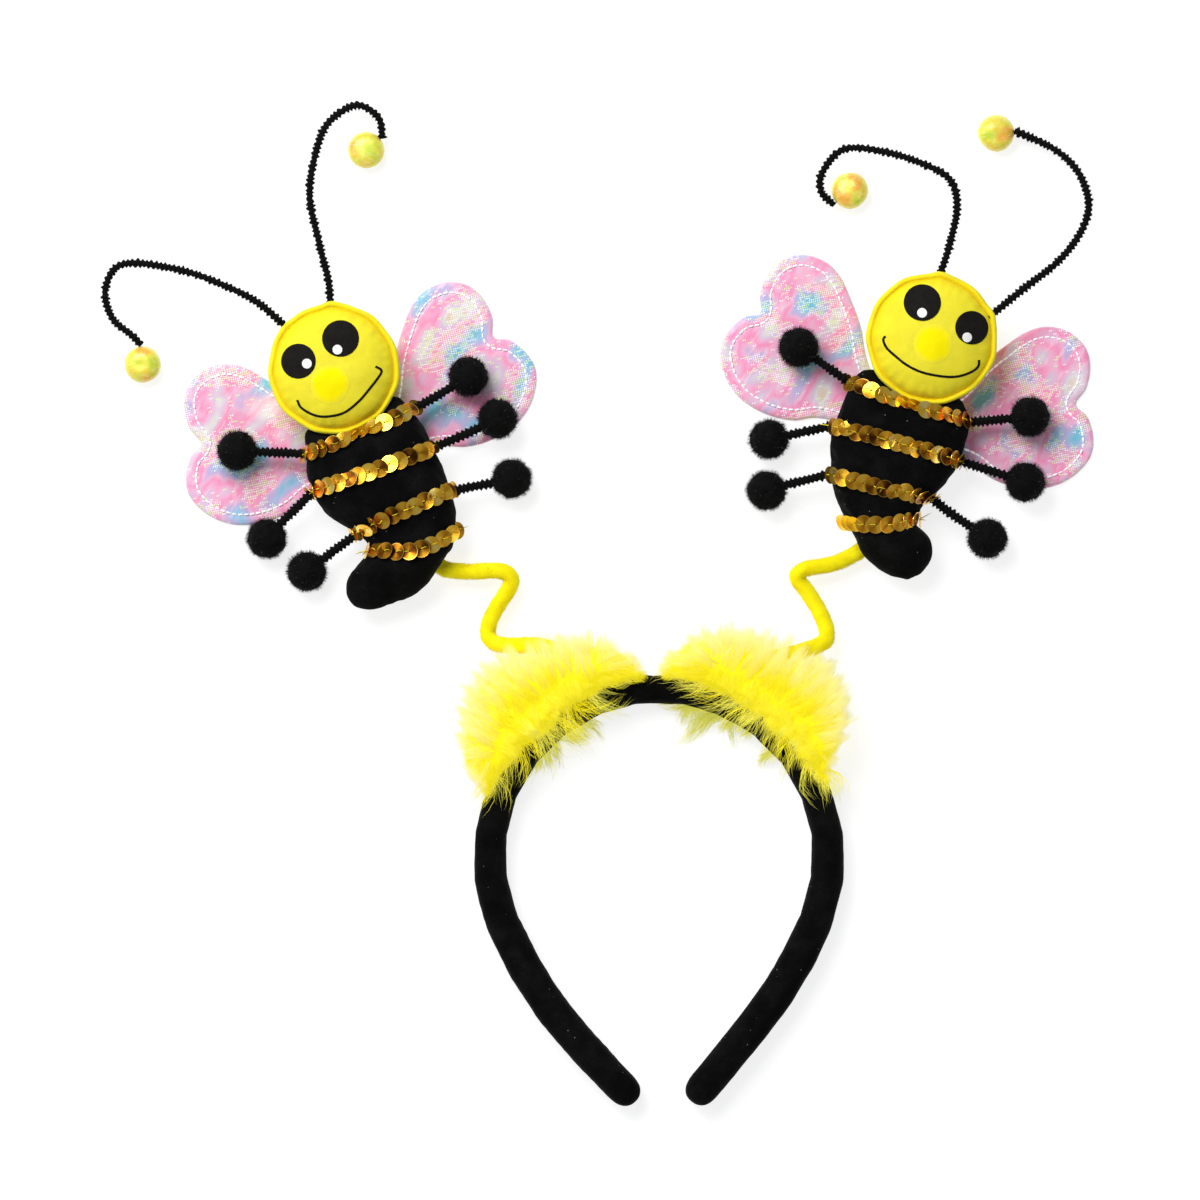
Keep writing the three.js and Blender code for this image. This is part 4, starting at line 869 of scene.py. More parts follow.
def sequin():
    form = sequinForm
    bpy.ops.object.select_all(action="DESELECT")
    bpy.ops.mesh.primitive_circle_add(vertices=form["sides"], radius=form["radius"] * mm, fill_type="NOTHING")
    disc = calledAs("sequin")
    editing(disc)
    for last, radius in zip(form["rings"], form["rings"][1:]):
        bpy.ops.mesh.extrude_edges_move()
        bpy.ops.transform.resize(value=(radius / last, radius / last, 1))
    bpy.ops.mesh.select_all(action="SELECT")
    bpy.ops.mesh.normals_make_consistent(inside=False)
    bpy.ops.object.mode_set(mode="OBJECT")
    points = pointsOf(disc)
    radius = np.linalg.norm(points[:, :2], axis=1)
    points[:, 2] = form["cup"] * (radius / form["radius"]) ** 2
    setPoints(disc, points)
    applied(disc, "SOLIDIFY", thickness=form["thickness"] * mm, offset=0)
    spokes = disc.data.uv_layers.new(name="spokes")
    for face in disc.data.polygons:
        middle = math.atan2(face.center.y, face.center.x)
        for corner in face.loop_indices:
            place = disc.data.vertices[disc.data.loops[corner].vertex_index].co / mm
            turn = math.atan2(place.y, place.x)
            turn += turnAround * round((middle - turn) / turnAround)
            spokes.data[corner].uv = (turn / turnAround, math.hypot(place.x, place.y) / form["radius"])
    return smoothed(disc, 35)


def stripeRoute(ends, surface):
    flat = roundedRoute([(*end, 0) for end in ends], sequinForm["step"])
    places = [(x, y, topOf(surface, x, y)[0].z) for x, y, _ in flat]
    return evenly(np.array(places), sequinForm["step"])


# one stripe of sequins, and the lines of its thread
def sequinStripe(name, row, disc, surface, seed):
    form = sequinForm
    draw = np.random.default_rng(seed)
    route = stripeRoute(stripes[name][row], surface)
    length = form["step"] * (len(route) - 1)
    count = round((length - form["radius"]) / form["pitch"]) + 1
    places = evenly(route, (length - 2) / (count - 1))[:count]
    discs, threads = [], []
    for at, place in enumerate(places):
        ahead = places[min(at + 1, count - 1)] - places[max(at - 1, 0)]
        _, normal = topOf(surface, place[0], place[1])
        normal = unit(np.array([normal.x, normal.y, max(normal.z, form["facing"])]))
        along = unit(ahead - normal * np.dot(ahead, normal))
        side = np.cross(normal, along)
        lap = math.radians(form["lap"] + draw.normal() * 6)
        roll = math.radians(draw.normal() * 10)
        along = math.cos(lap) * along + math.sin(lap) * normal
        normal = unit(np.cross(along, side))
        normal = unit(math.cos(roll) * normal + math.sin(roll) * side)
        side = unit(np.cross(normal, along))
        centre = place + normal * (form["lift"] + 0.1 * draw.random())
        copy = duplicate(disc)
        # the painted wedges of all discs are turned the same way, toward the light
        spin = math.radians(form["shineTurn"]) - math.atan2(along[1], along[0]) + draw.normal() * 0.4
        turn = Matrix((*[(along[k], side[k], normal[k]) for k in range(3)],)).to_4x4()
        copy.data.transform(Matrix.Translation(Vector(centre) * mm) @ turn @ Matrix.Rotation(spin, 4, "Z"))
        # each disc's tone is a painted reflection: some discs dark brown, some bright gold
        paintedReflection = draw.choice([0.12, 0.3, 0.48, 0.62, 0.76], p=[0.14, 0.2, 0.28, 0.24, 0.14])
        setTone(copy, np.clip(paintedReflection + draw.normal() * 0.05, 0, 1))
        discs.append(copy)
        start = centre + normal * 0.15
        reach = -along if draw.random() < 0.5 else along
        bow = start + reach * 1.5 + normal * 0.35 + side * draw.normal() * 0.3
        threads.append([start - normal * 0.3, start + normal * 0.25, bow, start + reach * 3.0 + normal * 0.05])
    # loose ends of thread
    drop = np.array([0, 0, -1.0])
    for place, out in ((places[0], places[0] - places[1]), (places[-1], places[-1] - places[-2])):
        out = unit(out)
        for tail in range(3):
            heading = unit(out + draw.normal(size=3) * 0.45)
            reach = draw.uniform(3.5, 6.5)
            threads.append([place + out * 1.5] + [
                place + out * 2.5 + heading * reach * share + drop * fall
                for share, fall in ((0.3, 0), (0.7, 0.5), (1, 1.6))])
    stripe = joined(discs, f"{name}_gold_sequins_{row + 1}")
    fitOut(stripe, sequinGold, [f"{name}_sequin_stripe_{row + 1}"])
    return threads


disc = sequin()
for name, bee in bees.items():
    surface = surfaceOf(bodies[name])
    threads = []
    for row in range(4):
        threads += sequinStripe(name, row, disc, surface, 100 * bee["side"] % 977 + row)
    lines = np.array(threads)
    widths = np.tile(np.array([0.21, 0.22, 0.17]), (len(lines), 1))
    stitches = strandPiece(name + "_sequin_thread", lines, widths, np.full(len(lines), 0.5))
    fitOut(stitches, threadYellow)
bpy.data.objects.remove(disc)
print("sequins ready")


# ---- wings: flat pads of film cloth, with a stitched line inside the hem
wingForm = {"stitchIn": 4.0, "stitchPitch": 2.3, "stitchLength": 2.0, "spacing": 1.15, "fill": 0.5}


def wingOutline(node):
    shape = bmesh.new()
    shape.from_mesh(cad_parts[node].data)
    bmesh.ops.remove_doubles(shape, verts=shape.verts, dist=0.01 * mm)
    low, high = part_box(node)
    level = low.z + 0.35 * (high.z - low.z)
    ring = {vert for vert in shape.verts if abs(vert.co.z - level) < 0.1 * mm}
    at = min(ring, key=lambda vert: vert.index)
    order = [at]
    while at:
        near = [edge.other_vert(at) for edge in at.link_edges]
        near = [vert for vert in near if vert in ring and vert not in order]
        at = near[0] if near else None
        if at:
            order.append(at)
    corners = [(vert.co.x / mm, vert.co.y / mm, 0) for vert in order]
    shape.free()
    line = roundedRoute(corners[-2:] + corners + corners[:2], 0.2)
    line = line[:, :2]
    # the route runs past its start at both ends, so one whole turn is cut out of it
    first = np.argmin(np.linalg.norm(line - np.array(corners[0][:2]), axis=1)[:len(line) // 2])
    last = len(line) // 2 + np.argmin(np.linalg.norm(line - np.array(corners[0][:2]), axis=1)[len(line) // 2:])
    loop = line[first:last]
    area = np.sum(loop[:, 0] * np.roll(loop[:, 1], -1) - np.roll(loop[:, 0], -1) * loop[:, 1])
    return loop if area > 0 else loop[::-1]


def distanceIn(points, loop):
    sample = loop[::3]
    return np.array([np.sqrt(((sample - point) ** 2).sum(axis=1).min()) for point in points])


def insideLoop(points, loop):
    x, y = points[:, 0:1], points[:, 1:2]
    sample = loop[::3]
    ahead = np.roll(sample, -1, axis=0)
    straddles = (sample[:, 1] > y) != (ahead[:, 1] > y)
    rise = np.where(ahead[:, 1] == sample[:, 1], 1e-9, ahead[:, 1] - sample[:, 1])
    slope = (ahead[:, 0] - sample[:, 0]) * (y - sample[:, 1]) / rise
    return (straddles & (x < slope + sample[:, 0])).sum(axis=1) % 2 == 1


def wingPad(node, name, seed):
    form = wingForm
    loop = wingOutline(node)
    inward = np.roll(loop, -2, axis=0) - np.roll(loop, 2, axis=0)
    inward = unit(np.stack([-inward[:, 1], inward[:, 0]], axis=1))
    edge = loop[::4]
    points = [edge]
    stitchLine = None
    for depth in (0.35, 1.1, 2.2, 3.3, 3.75, 4.0, 4.25, 4.8, 5.6):
        ring = (loop + inward * depth)[::5 if depth < 3 else 4]
        ring = ring[distanceIn(ring, loop) > depth - 0.08]
        if depth == form["stitchIn"]:
            stitchLine = ring
        points.append(ring)
    low, high = loop.min(axis=0), loop.max(axis=0)
    step = form["spacing"]
    grid = np.array([(x + (0.5 * step if row % 2 else 0), y)
                     for row, y in enumerate(np.arange(low[1], high[1], step * 0.87))
                     for x in np.arange(low[0], high[0], step)])
    grid = grid[insideLoop(grid, loop)]
    points.append(grid[distanceIn(grid, loop) > 6.5])
    flat = np.vstack(points)
    border = [(at, (at + 1) % len(edge)) for at in range(len(edge))]
    verts, _, found, *_ = delaunay_2d_cdt([Vector(point) for point in flat], border, [], 1, 1e-4)
    flat = np.array([(vert.x, vert.y) for vert in verts])
    triangles = np.array([face for face in found if len(face) == 3])
    a, b, c = (flat[triangles[:, k]] for k in range(3))
    spin = (b[:, 0] - a[:, 0]) * (c[:, 1] - a[:, 1]) - (b[:, 1] - a[:, 1]) * (c[:, 0] - a[:, 0])
    triangles[spin < 0] = triangles[spin < 0][:, ::-1]
    depth = distanceIn(flat, loop)
    depth[:len(edge)] = 0
    along = np.arctan2(flat[:, 1] - flat[:, 1].mean(), flat[:, 0] - flat[:, 0].mean())
    top = np.interp(depth, [0, 0.35, 1.1, 2.2, 3.3, 3.75, 4.0, 4.25, 4.8, 6.5, 10, 16],
                    [1.0, 1.7, 2.05, 2.15, 2.14, 2.08, 2.02, 2.08, 2.18, 2.34, 2.5, 2.55])
    folds = np.exp(-((depth - 5) / 3.0) ** 2) * 0.05 * np.sin(34 * along + 3 * ripples(flat, 30, seed))
    soft = np.clip((depth - 5) / 6, 0, 1)
    top = top + folds + soft * 0.12 * ripples(flat, 13, seed + 1)
    top = top + np.clip(depth, 0, 1) * 0.04 * ripples(flat, 3.5, seed + 2)
    top = np.where(depth < 0.01, 1.0, np.minimum(top, 3.15))
    bottom = np.interp(depth, [0, 0.35, 1.1, 4.0, 6], [1.0, 0.45, 0.25, 0.35, 0.1])
    upper = np.column_stack([flat, top])
    lower = np.column_stack([flat, bottom])
    under = triangles[:, ::-1] + len(flat)
    pad = meshPiece(name, np.vstack([upper, lower]), np.zeros((0, 4), int), np.vstack([triangles, under]),
                    np.tile(np.clip(depth / 8, 0, 1), 2))
    editing(pad)
    bpy.ops.mesh.remove_doubles(threshold=0.002 * mm)
    bpy.ops.object.mode_set(mode="OBJECT")
    return pad, stitchLine


def stitchRow(name, line, surface):
    form = wingForm
    closed = np.column_stack([np.vstack([line, line[:1]]), np.zeros(len(line) + 1)])
    places = evenly(closed, form["stitchPitch"])
    lines = []
    for at in range(len(places) - 1):
        start, ahead = places[at], unit(places[at + 1] - places[at])
        if np.linalg.norm(places[at + 1] - places[at]) > 1.6 * form["stitchPitch"]:
            continue
        stitch = []
        for share, lift in ((0, -0.05), (0.2, 0.36), (0.8, 0.36), (1, -0.05)):
            spot = start + ahead * share * form["stitchLength"]
            stitch.append((spot[0], spot[1], topOf(surface, spot[0], spot[1])[0].z + lift))
        lines.append(stitch)
    lines = np.array(lines)
    return strandPiece(name, lines, np.tile(np.array([0.32, 0.42, 0.38]), (len(lines), 1)), np.full(len(lines), 0.5))


for name in bees:
    for side in ("outer", "inner"):
        node = name + "_wing_" + side
        pad, line = wingPad(node, name + "_pearl_wing_" + side, len(node) + 5)
        fitOut(pad, pearlWeave, [node])
        row = stitchRow(name + "_wing_stitches_" + side, line, surfaceOf(pad))
        fitOut(row, stitchWhite)
print("wings ready")


# ---- chenille: a dark core with short fibres set along a spiral
chenille = {"leg": 1.25, "feeler": 0.95, "ridgeRise": 0.75, "ridge": 1.75, "reach": 0.45, "fibres": 26,
            "width": 0.07, "step": 0.36, "sides": 10}
legRoutes = {
    "left_leg_outer_1": [(-131.5, 88.8, 11.0), (-143.7, 89.6, 10.7), (-152.4, 90.2, 10.5), (-156, 90.4, 10.4)],
    "left_leg_outer_2": [(-130.0, 76.5, 11.0), (-138.2, 68.7, 10.0), (-143.7, 63.0, 9.0), (-146.5, 60.2, 8.6)],
    "left_leg_outer_3": [(-113.0, 61.0, 11.0), (-122.0, 54.2, 10.0), (-127.6, 49.7, 9.1), (-130.7, 47.2, 8.8)],
    "left_leg_inner_1": [(-96.0, 105.0, 11.0), (-85.9, 110.9, 10.7), (-79.3, 114.8, 10.5), (-76, 116.7, 10.4)],
    "left_leg_inner_2": [(-88.0, 91.1, 11.0), (-76.6, 96.1, 10.7), (-68.7, 99.6, 10.5), (-65.2, 101.2, 10.4)],
    "left_leg_inner_3": [(-81.5, 75.1, 11.0), (-70.9, 77.2, 10.0), (-63.8, 78.6, 9.1), (-60, 79.4, 8.8)],
    "right_leg_outer_1": [(114.5, 101.2, 11.0), (125.8, 102.3, 10.7), (133.1, 102.9, 10.5), (137, 103.2, 10.4)],
    "right_leg_outer_2": [(111.8, 87.8, 11.0), (123.5, 83.9, 10.7), (131.7, 81.3, 10.5), (135.3, 80.1, 10.4)],
    "right_leg_outer_3": [(101.2, 74.6, 11.0), (111.3, 67.2, 10.0), (118.5, 62.0, 8.9), (121.7, 59.6, 8.6)],
    "right_leg_inner_1": [(75.3, 114.4, 11.0), (65.8, 121.1, 10.7), (59.6, 125.5, 10.5), (56.6, 127.6, 10.4)],
    "right_leg_inner_2": [(68.0, 100.7, 11.0), (57.0, 98.3, 10.0), (49.6, 96.7, 9.0), (45.8, 95.9, 8.6)],
    "right_leg_inner_3": [(67.6, 82.8, 11.0), (56.2, 79.7, 10.0), (48.5, 77.7, 9.0), (44.7, 76.7, 8.6)],
}
feelerRoutes = {
    "left_feeler_outer": [(-140.5, 136.6, 17.0), (-151.8, 146.7, 15.6), (-166.2, 154.1, 14.3), (-182.1, 159.7, 12.9),
                          (-197.3, 162.0, 11.6), (-206.8, 160.1, 10.2), (-210.7, 151.0, 8.9), (-208.0, 141.1, 7.5),
                          (-200.2, 134.5, 6.2), (-197.0, 131.0, 5.0)],
    "left_feeler_inner": [(-124.7, 144.5, 17.0), (-125.5, 155.5, 15.5), (-128.9, 168.7, 13.9), (-132.4, 187.7, 12.4),
                          (-131.2, 202.9, 10.9), (-125.6, 215.5, 9.4), (-115.2, 221.9, 7.8), (-106.9, 217.4, 6.3),
                          (-105.0, 209.7, 5.0)],
    "right_feeler_outer": [(125.0, 141.3, 17.0), (141.7, 154.6, 15.3), (155.0, 166.1, 13.5), (161.9, 177.8, 11.8),
                           (162.9, 187.3, 10.0), (158.8, 197.5, 8.3), (149.3, 206.3, 6.5), (135.2, 212.8, 5.0)],
    "right_feeler_inner": [(105.9, 156.0, 17.0), (110.2, 169.0, 15.6), (113.2, 182.3, 14.3), (110.9, 193.0, 12.9),
                           (101.4, 199.4, 11.6), (84.4, 204.7, 10.2), (70.1, 204.9, 8.9), (62.1, 197.1, 7.5),
                           (61.7, 189.9, 6.2), (66.9, 184.4, 5.0)],
}


def chenilleCord(node, corners, seed):
    form = chenille
    radius = form["leg" if "_leg_" in node else "feeler"]
    draw = np.random.default_rng(seed)
    route = roundedRoute(corners, form["step"])
    wander = np.stack([ripples(route, 26, seed + k) for k in range(3)], axis=1) * 0.25
    route = route + wander * np.minimum(1, np.arange(len(route)) / 12)[:, None]
    frames = along, side, up = routeFrames(route)
    places = np.arange(len(route))[:, None]
    around = np.arange(form["sides"])[None, :] * turnAround / form["sides"]

    slip = 0.7 * ripples(route, 4.5, seed + 6)
    uneven = 1 + 0.32 * ripples(route, 2.6, seed + 5)

    def ridgeAt(turn, place):
        at = np.minimum(place.astype(int), len(route) - 1)
        wave = 0.5 + 0.5 * np.cos(turn - turnAround * place * form["step"] / form["ridge"] + slip[at])
        return wave ** 0.8 * uneven[at]

    ridge = ridgeAt(around, places)
    # the core's tone is lower between the ridges: painted shade in the grooves
    core = tubePiece("core", route, frames, radius + form["ridgeRise"] * ridge, 0.1 + 0.2 * ridge)
    length = form["step"] * (len(route) - 1)
    count = int(length * form["fibres"] * 2)
    place = draw.uniform(0, len(route) - 1.001, count)
    turn = draw.uniform(0, turnAround, count)
    kept = ridgeAt(turn, place) > draw.uniform(0.05, 0.95, count)
    place, turn = place[kept], turn[kept]
    count = len(place)
    base = place.astype(int)
    blend = (place - base)[:, None]
    centre = route[base] * (1 - blend) + route[base + 1] * blend
    outward = side[base] * np.cos(turn)[:, None] + up[base] * np.sin(turn)[:, None]
    lean = along[base] * draw.normal(size=(count, 1)) * 0.3 + draw.normal(size=(count, 3)) * 0.25
    deep = (radius + form["ridgeRise"] * ridgeAt(turn, place) - 0.2)[:, None]
    start = centre + outward * deep
    tip = start + unit(outward + lean) * (0.2 + form["reach"] * draw.uniform(0.3, 1.35, (count, 1)))
    # a few fibres get a higher tone: painted grey glints
    tone = np.clip(draw.uniform(0, 0.75, count) + 0.25 * (draw.random(count) < 0.04), 0, 1)
    fibres = strandPiece("fibres", np.stack([start, tip], axis=1), np.full((count, 1), form["width"]), tone)
    name = node.replace("_leg_", "_chenille_leg_").replace("_feeler_", "_chenille_feeler_")
    return fitOut(joined([core, fibres], name), chenilleBlack, [node])


for index, (node, corners) in enumerate({**legRoutes, **feelerRoutes}.items()):
    chenilleCord(node, corners, 300 + index)
print("chenille ready")


# ---- pompoms: a dented ball with short fibres all over, modelled once and copied
pompomForm = {"core": 7.2, "radius": 8.4, "fibres": 2300, "width": 0.085}


def pompom(seed):
    form = pompomForm
    draw = np.random.default_rng(seed)
    bpy.ops.object.select_all(action="DESELECT")
    bpy.ops.mesh.primitive_ico_sphere_add(subdivisions=4, radius=form["core"] * mm)
    core = calledAs("core")
    bpy.ops.object.shade_smooth()
    points = pointsOf(core)
    setPoints(core, points * (1 + 0.035 * ripples(points, 4.5, seed))[:, None])
    setTone(core, 0.15)
    outward = unit(draw.normal(size=(form["fibres"], 3)))
    start = outward * (form["core"] - 0.4)
    clump = ripples(outward * 8, 5, seed + 1)
    tip = outward * (form["radius"] + 0.32 * clump + draw.normal(size=form["fibres"]) * 0.16)[:, None]
    tip = tip + draw.normal(size=tip.shape) * 0.3
    # a few fibres get a higher tone: painted grey glints
    tone = np.clip(draw.uniform(0, 0.75, form["fibres"]) + 0.35 * (draw.random(form["fibres"]) < 0.08), 0, 1)
    widths = np.full((form["fibres"], 1), form["width"])
    fibres = strandPiece("fibres", np.stack([start, tip], axis=1), widths, tone)
    return joined([core, fibres], "pompom")


ball = pompom(71)
draw = np.random.default_rng(9)
for name in bees:
    for side in ("outer", "inner"):
        for index in (1, 2, 3):
            node = f"{name}_pompom_{side}_{index}"
            low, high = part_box(node)
            copy = duplicate(ball)
            copy.name = copy.data.name = node.replace("_pompom_", "_fluffy_pompom_")
            spin = Matrix.Rotation(draw.uniform(0, 6), 4, "X") @ Matrix.Rotation(draw.uniform(0, 6), 4, "Z")
            copy.data.transform(Matrix.Translation((low + high) / 2) @ spin)
            points = pointsOf(copy)
            points[:, 2] = np.maximum(points[:, 2], 0.05)
            setPoints(copy, points)
            fitOut(copy, chenilleBlack, [node])
bpy.data.objects.remove(ball)
print("pompoms ready")


# ---- feeler ends: small foil pillows with a pinched seam
foilForm = {"radius": 6.95, "half": 4.3, "folds": 13, "fill": 0.8}


def foilPillow(node, seed):
    form = foilForm
    low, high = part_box(node)
    centre = np.array((low + high) / 2) / mm
    bpy.ops.object.select_all(action="DESELECT")
    bpy.ops.mesh.primitive_uv_sphere_add(segments=64, ring_count=32, radius=form["radius"] * mm)
    pillow = calledAs(node.replace("_feeler_tip_", "_foil_pillow_"))
    points = pointsOf(pillow)
    across = np.linalg.norm(points[:, :2], axis=1) / form["radius"]
    angle = np.arctan2(points[:, 1], points[:, 0])
    circle = np.stack([np.cos(angle), np.sin(angle)], axis=1) * 6
    level = np.sign(points[:, 2]) * form["half"] * np.clip(1 - across ** 3.4, 0, 1) ** 0.6
    edge = np.exp(-((1 - across) / 0.28) ** 2)
    fold = np.cos(form["folds"] * angle + 2.0 * ripples(circle, 9, seed))
    level *= 1 - 0.06 * edge * fold
    level += 0.16 * ripples(points, 7, seed + 1) * (1 - edge)
    swell = 1 + 0.004 * fold * edge + 0.012 * ripples(circle, 9, seed + 2)
    points = np.column_stack([points[:, 0] * swell, points[:, 1] * swell, level]) + centre
    points[:, 2] = np.maximum(points[:, 2], 0.05)
    setPoints(pillow, points)
    setTone(pillow, across)
    return fitOut(smoothed(pillow), foilYellow, [node])


for index, node in enumerate(["left_feeler_tip_outer", "left_feeler_tip_inner",
                              "right_feeler_tip_outer", "right_feeler_tip_inner"]):
    foilPillow(node, 50 + 3 * index)
print("foil ends ready")


# ---- stems: a bent wire in bright plush
plush = {"radius": 3.0, "reach": 0.55, "fibres": 76, "width": 0.075, "step": 0.8}
stemRoutes = {
    "left_stem": [(-28.5, 0.0, 8.0), (-31.7, 6.5, 9.2), (-38.1, 13.7, 12.0), (-45.6, 16.7, 14.4), (-55.1, 16.7, 12.0),
                  (-62.1, 17.5, 8.8), (-65.1, 21.3, 6.8), (-63.5, 28.1, 5.6), (-59.3, 34.9, 5.6), (-56.3, 39.9, 6.4),
                  (-57.1, 43.7, 7.6), (-62.1, 45.2, 8.0), (-72.2, 44.8, 6.4), (-80.6, 45.6, 5.0), (-85.1, 47.9, 4.4),
                  (-89.6, 50.2, 4.4)],
    "right_stem": [(28.6, 0.1, 8.0), (30.8, 5.7, 9.2), (37.0, 10.0, 12.0), (48.4, 13.0, 14.4), (59.8, 16.4, 10.4),
                   (64.0, 20.2, 7.6), (61.3, 29.3, 5.6), (56.0, 37.7, 5.6), (52.6, 42.3, 6.4), (55.2, 45.7, 7.6),
                   (65.5, 47.6, 6.8), (73.1, 50.6, 5.2), (77.6, 53.5, 4.4), (81.8, 56.2, 4.4)],
}


def plushStem(node, corners, seed):
    form = plush
    draw = np.random.default_rng(seed)
    route = roundedRoute(corners, form["step"])
    along, side, up = routeFrames(route)
    core = cordPiece("core", route, form["radius"], 16)
    points, normals = pointsOf(core), normalsOf(core)
    dents = 0.16 * ripples(points, 6, seed + 1) + 0.07 * ripples(points, 2.4, seed + 2)
    setPoints(core, points + normals * dents[:, None])
    setTone(core, 0.3)
    count = int(form["step"] * len(route) * form["fibres"])
    place = draw.uniform(0, len(route) - 1.001, count)
    turn = draw.uniform(0, turnAround, count)
    base = place.astype(int)
    blend = (place - base)[:, None]
    centre = route[base] * (1 - blend) + route[base + 1] * blend
    outward = side[base] * np.cos(turn)[:, None] + up[base] * np.sin(turn)[:, None]
    start = centre + outward * (form["radius"] - 0.25)
    lean = along[base] * 0.5 + draw.normal(size=(count, 3)) * 0.4
    reach = form["reach"] * draw.uniform(0.7, 1.5, (count, 1)) + 0.25
    tip = start + unit(outward + lean) * reach
    fibres = strandPiece("fibres", np.stack([start, tip], axis=1), np.full((count, 1), form["width"]),
                         draw.uniform(0.1, 1.0, count))
    stem = joined([core, fibres], node.replace("_stem", "_plush_stem"))
    return fitOut(stem, plushYellow, [node])


for index, (node, corners) in enumerate(stemRoutes.items()):
    plushStem(node, corners, 400 + index)
print("stems ready")


# ---- feather tufts: a soft core, a coat of barbs gathered in pointed locks, and looser barbs over the band
crown = {"radius": 64.1, "depth": 10.4}
tuftForm = {"step": 1.2, "sides": 30, "bare": 7.0, "middle": 13.5, "half": 11.0, "top": 30.8,
            "spine": (20, 57), "locks": 460, "barbs": 13400, "gather": 0.7, "length": 10.5, "width": 0.06}
# degrees from the top of the crown, how far the tuft stands out from the band, how far it laps over it
tuftReach = {
    "left": [(3, 2, 0), (5.5, 5, 0), (10, 15, 0.5), (17, 21, 1), (24, 24, 2), (33, 28, 3.6), (40, 31, 4.6), (46, 31, 4.6),
             (53.5, 26, 3.6), (60.5, 21, 2.4), (65, 13, 1), (68.5, 5, 0), (72, 0, 0)],
    "right": [(-1.5, 2, 0), (2, 8, 0), (4.5, 14, 0.4), (10, 20, 0.8), (19, 24.5, 1.4), (29, 26.5, 3.0), (41, 31, 4.6),
              (48, 28, 4.4), (55, 19, 3.4), (60, 10, 1.6), (64, 4, 0.4), (69, 0, 0)],
}
# loose barbs over the band: degrees from the top of the crown, heading from +X, length
looseForm = {"groups": 10, "fans": 2, "locks": 3, "barbs": 12, "underBarbs": 30, "width": 0.085, "level": 13.7}
looseRows = {
    "left": [(9, 30, 8), (18, 15, 12), (26, -8, 15), (34, -34, 17), (44, -70, 17), (54, -98, 15), (62, -108, 17),
             (66, -104, 11)],
    "right": [(6, 168, 10), (12, 164, 14), (20, 176, 15), (28, 208, 13), (36, 236, 12), (46, 262, 12), (56, 280, 15),
              (61, 292, 19), (65, 286, 11)],
}
# barbs that come out from under the band, past its inner edge; their low tone is painted shade that makes them darker
# olive
underRows = {
    "left": [(31, -28, 10), (36, -42, 11), (41, -56, 12), (46, -75, 10), (51, -92, 8)],
    "right": [(11, 203, 12), (14, 208, 15), (17, 213, 17), (21, 220, 18), (25, 228, 16), (28, 236, 11), (35, 240, 7),
              (47, 205, 11)],
}


def crownPoint(sign, degrees, radius, height):
    turn = np.radians(degrees)
    return np.stack([sign * radius * np.sin(turn), radius * np.cos(turn) - crown["radius"],
                     height + 0 * turn], axis=-1)


# the angle round the crown and the distance from its middle
def crownPolar(sign, points):
    x, y = sign * points[..., 0], points[..., 1] + crown["radius"]
    return np.degrees(np.arctan2(x, y)), np.hypot(x, y)


def scattered(piece, count, draw):
    mesh = piece.data
    mesh.calc_loop_triangles()
    corners = np.array([triangle.vertices for triangle in mesh.loop_triangles])
    points = pointsOf(piece)
    a, b, c = (points[corners[:, k]] for k in range(3))
    cross = np.cross(b - a, c - a)
    area = np.linalg.norm(cross, axis=1)
    chosen = draw.choice(len(area), count, p=area / area.sum())
    u, v = draw.random((2, count, 1))
    u, v = np.where(u + v > 1, 1 - u, u), np.where(u + v > 1, 1 - v, v)
    return a[chosen] + u * (b - a)[chosen] + v * (c - a)[chosen], unit(cross[chosen])


def tuftCore(name, sign, seed):
    form = tuftForm
    ats, reaches, laps = zip(*tuftReach[name])
    outer = crown["radius"] + crown["depth"] / 2
    degrees = np.linspace(ats[1], ats[-2], round((ats[-2] - ats[1]) / form["step"]))
    edge = crownPoint(sign, degrees, outer, 0.0)
    lap = np.interp(degrees, ats, laps) * (0.85 + 0.4 * ripples(edge, 9, seed + 9))
    wide = np.maximum(0.5 * (np.interp(degrees, ats, reaches) - form["bare"] + lap), 0.9)
    tall = form["half"] * np.clip(wide / 7, 0.1, 1) ** 0.5
    route = crownPoint(sign, degrees, outer - lap + wide, form["middle"])
    turn = np.arange(form["sides"]) * turnAround / form["sides"]
    radius = 1 / np.hypot(np.cos(turn) / wide[:, None], np.sin(turn) / tall[:, None])
    around = np.stack([np.cos(turn) + 0 * radius, np.sin(turn) + 0 * radius, degrees[:, None] / 9 + 0 * radius],
                      axis=2)
    radius *= 1 + 0.05 * ripples(around * 4, 5, seed)
    return tubePiece(name + "_tuft_core", route, routeFrames(route), radius, 0.47 + 0 * radius)


# the way a barb lies: away from the nearest place on a line through the middle of the tuft
def awayFromSpine(sign, points):
    outer = crown["radius"] + crown["depth"] / 2
    degrees, _ = crownPolar(sign, points)
    heart = crownPoint(sign, np.clip(degrees, *tuftForm["spine"]), outer + 6, 0.0)
    away = points - heart
    away[..., 2] = 0
    return unit(away)


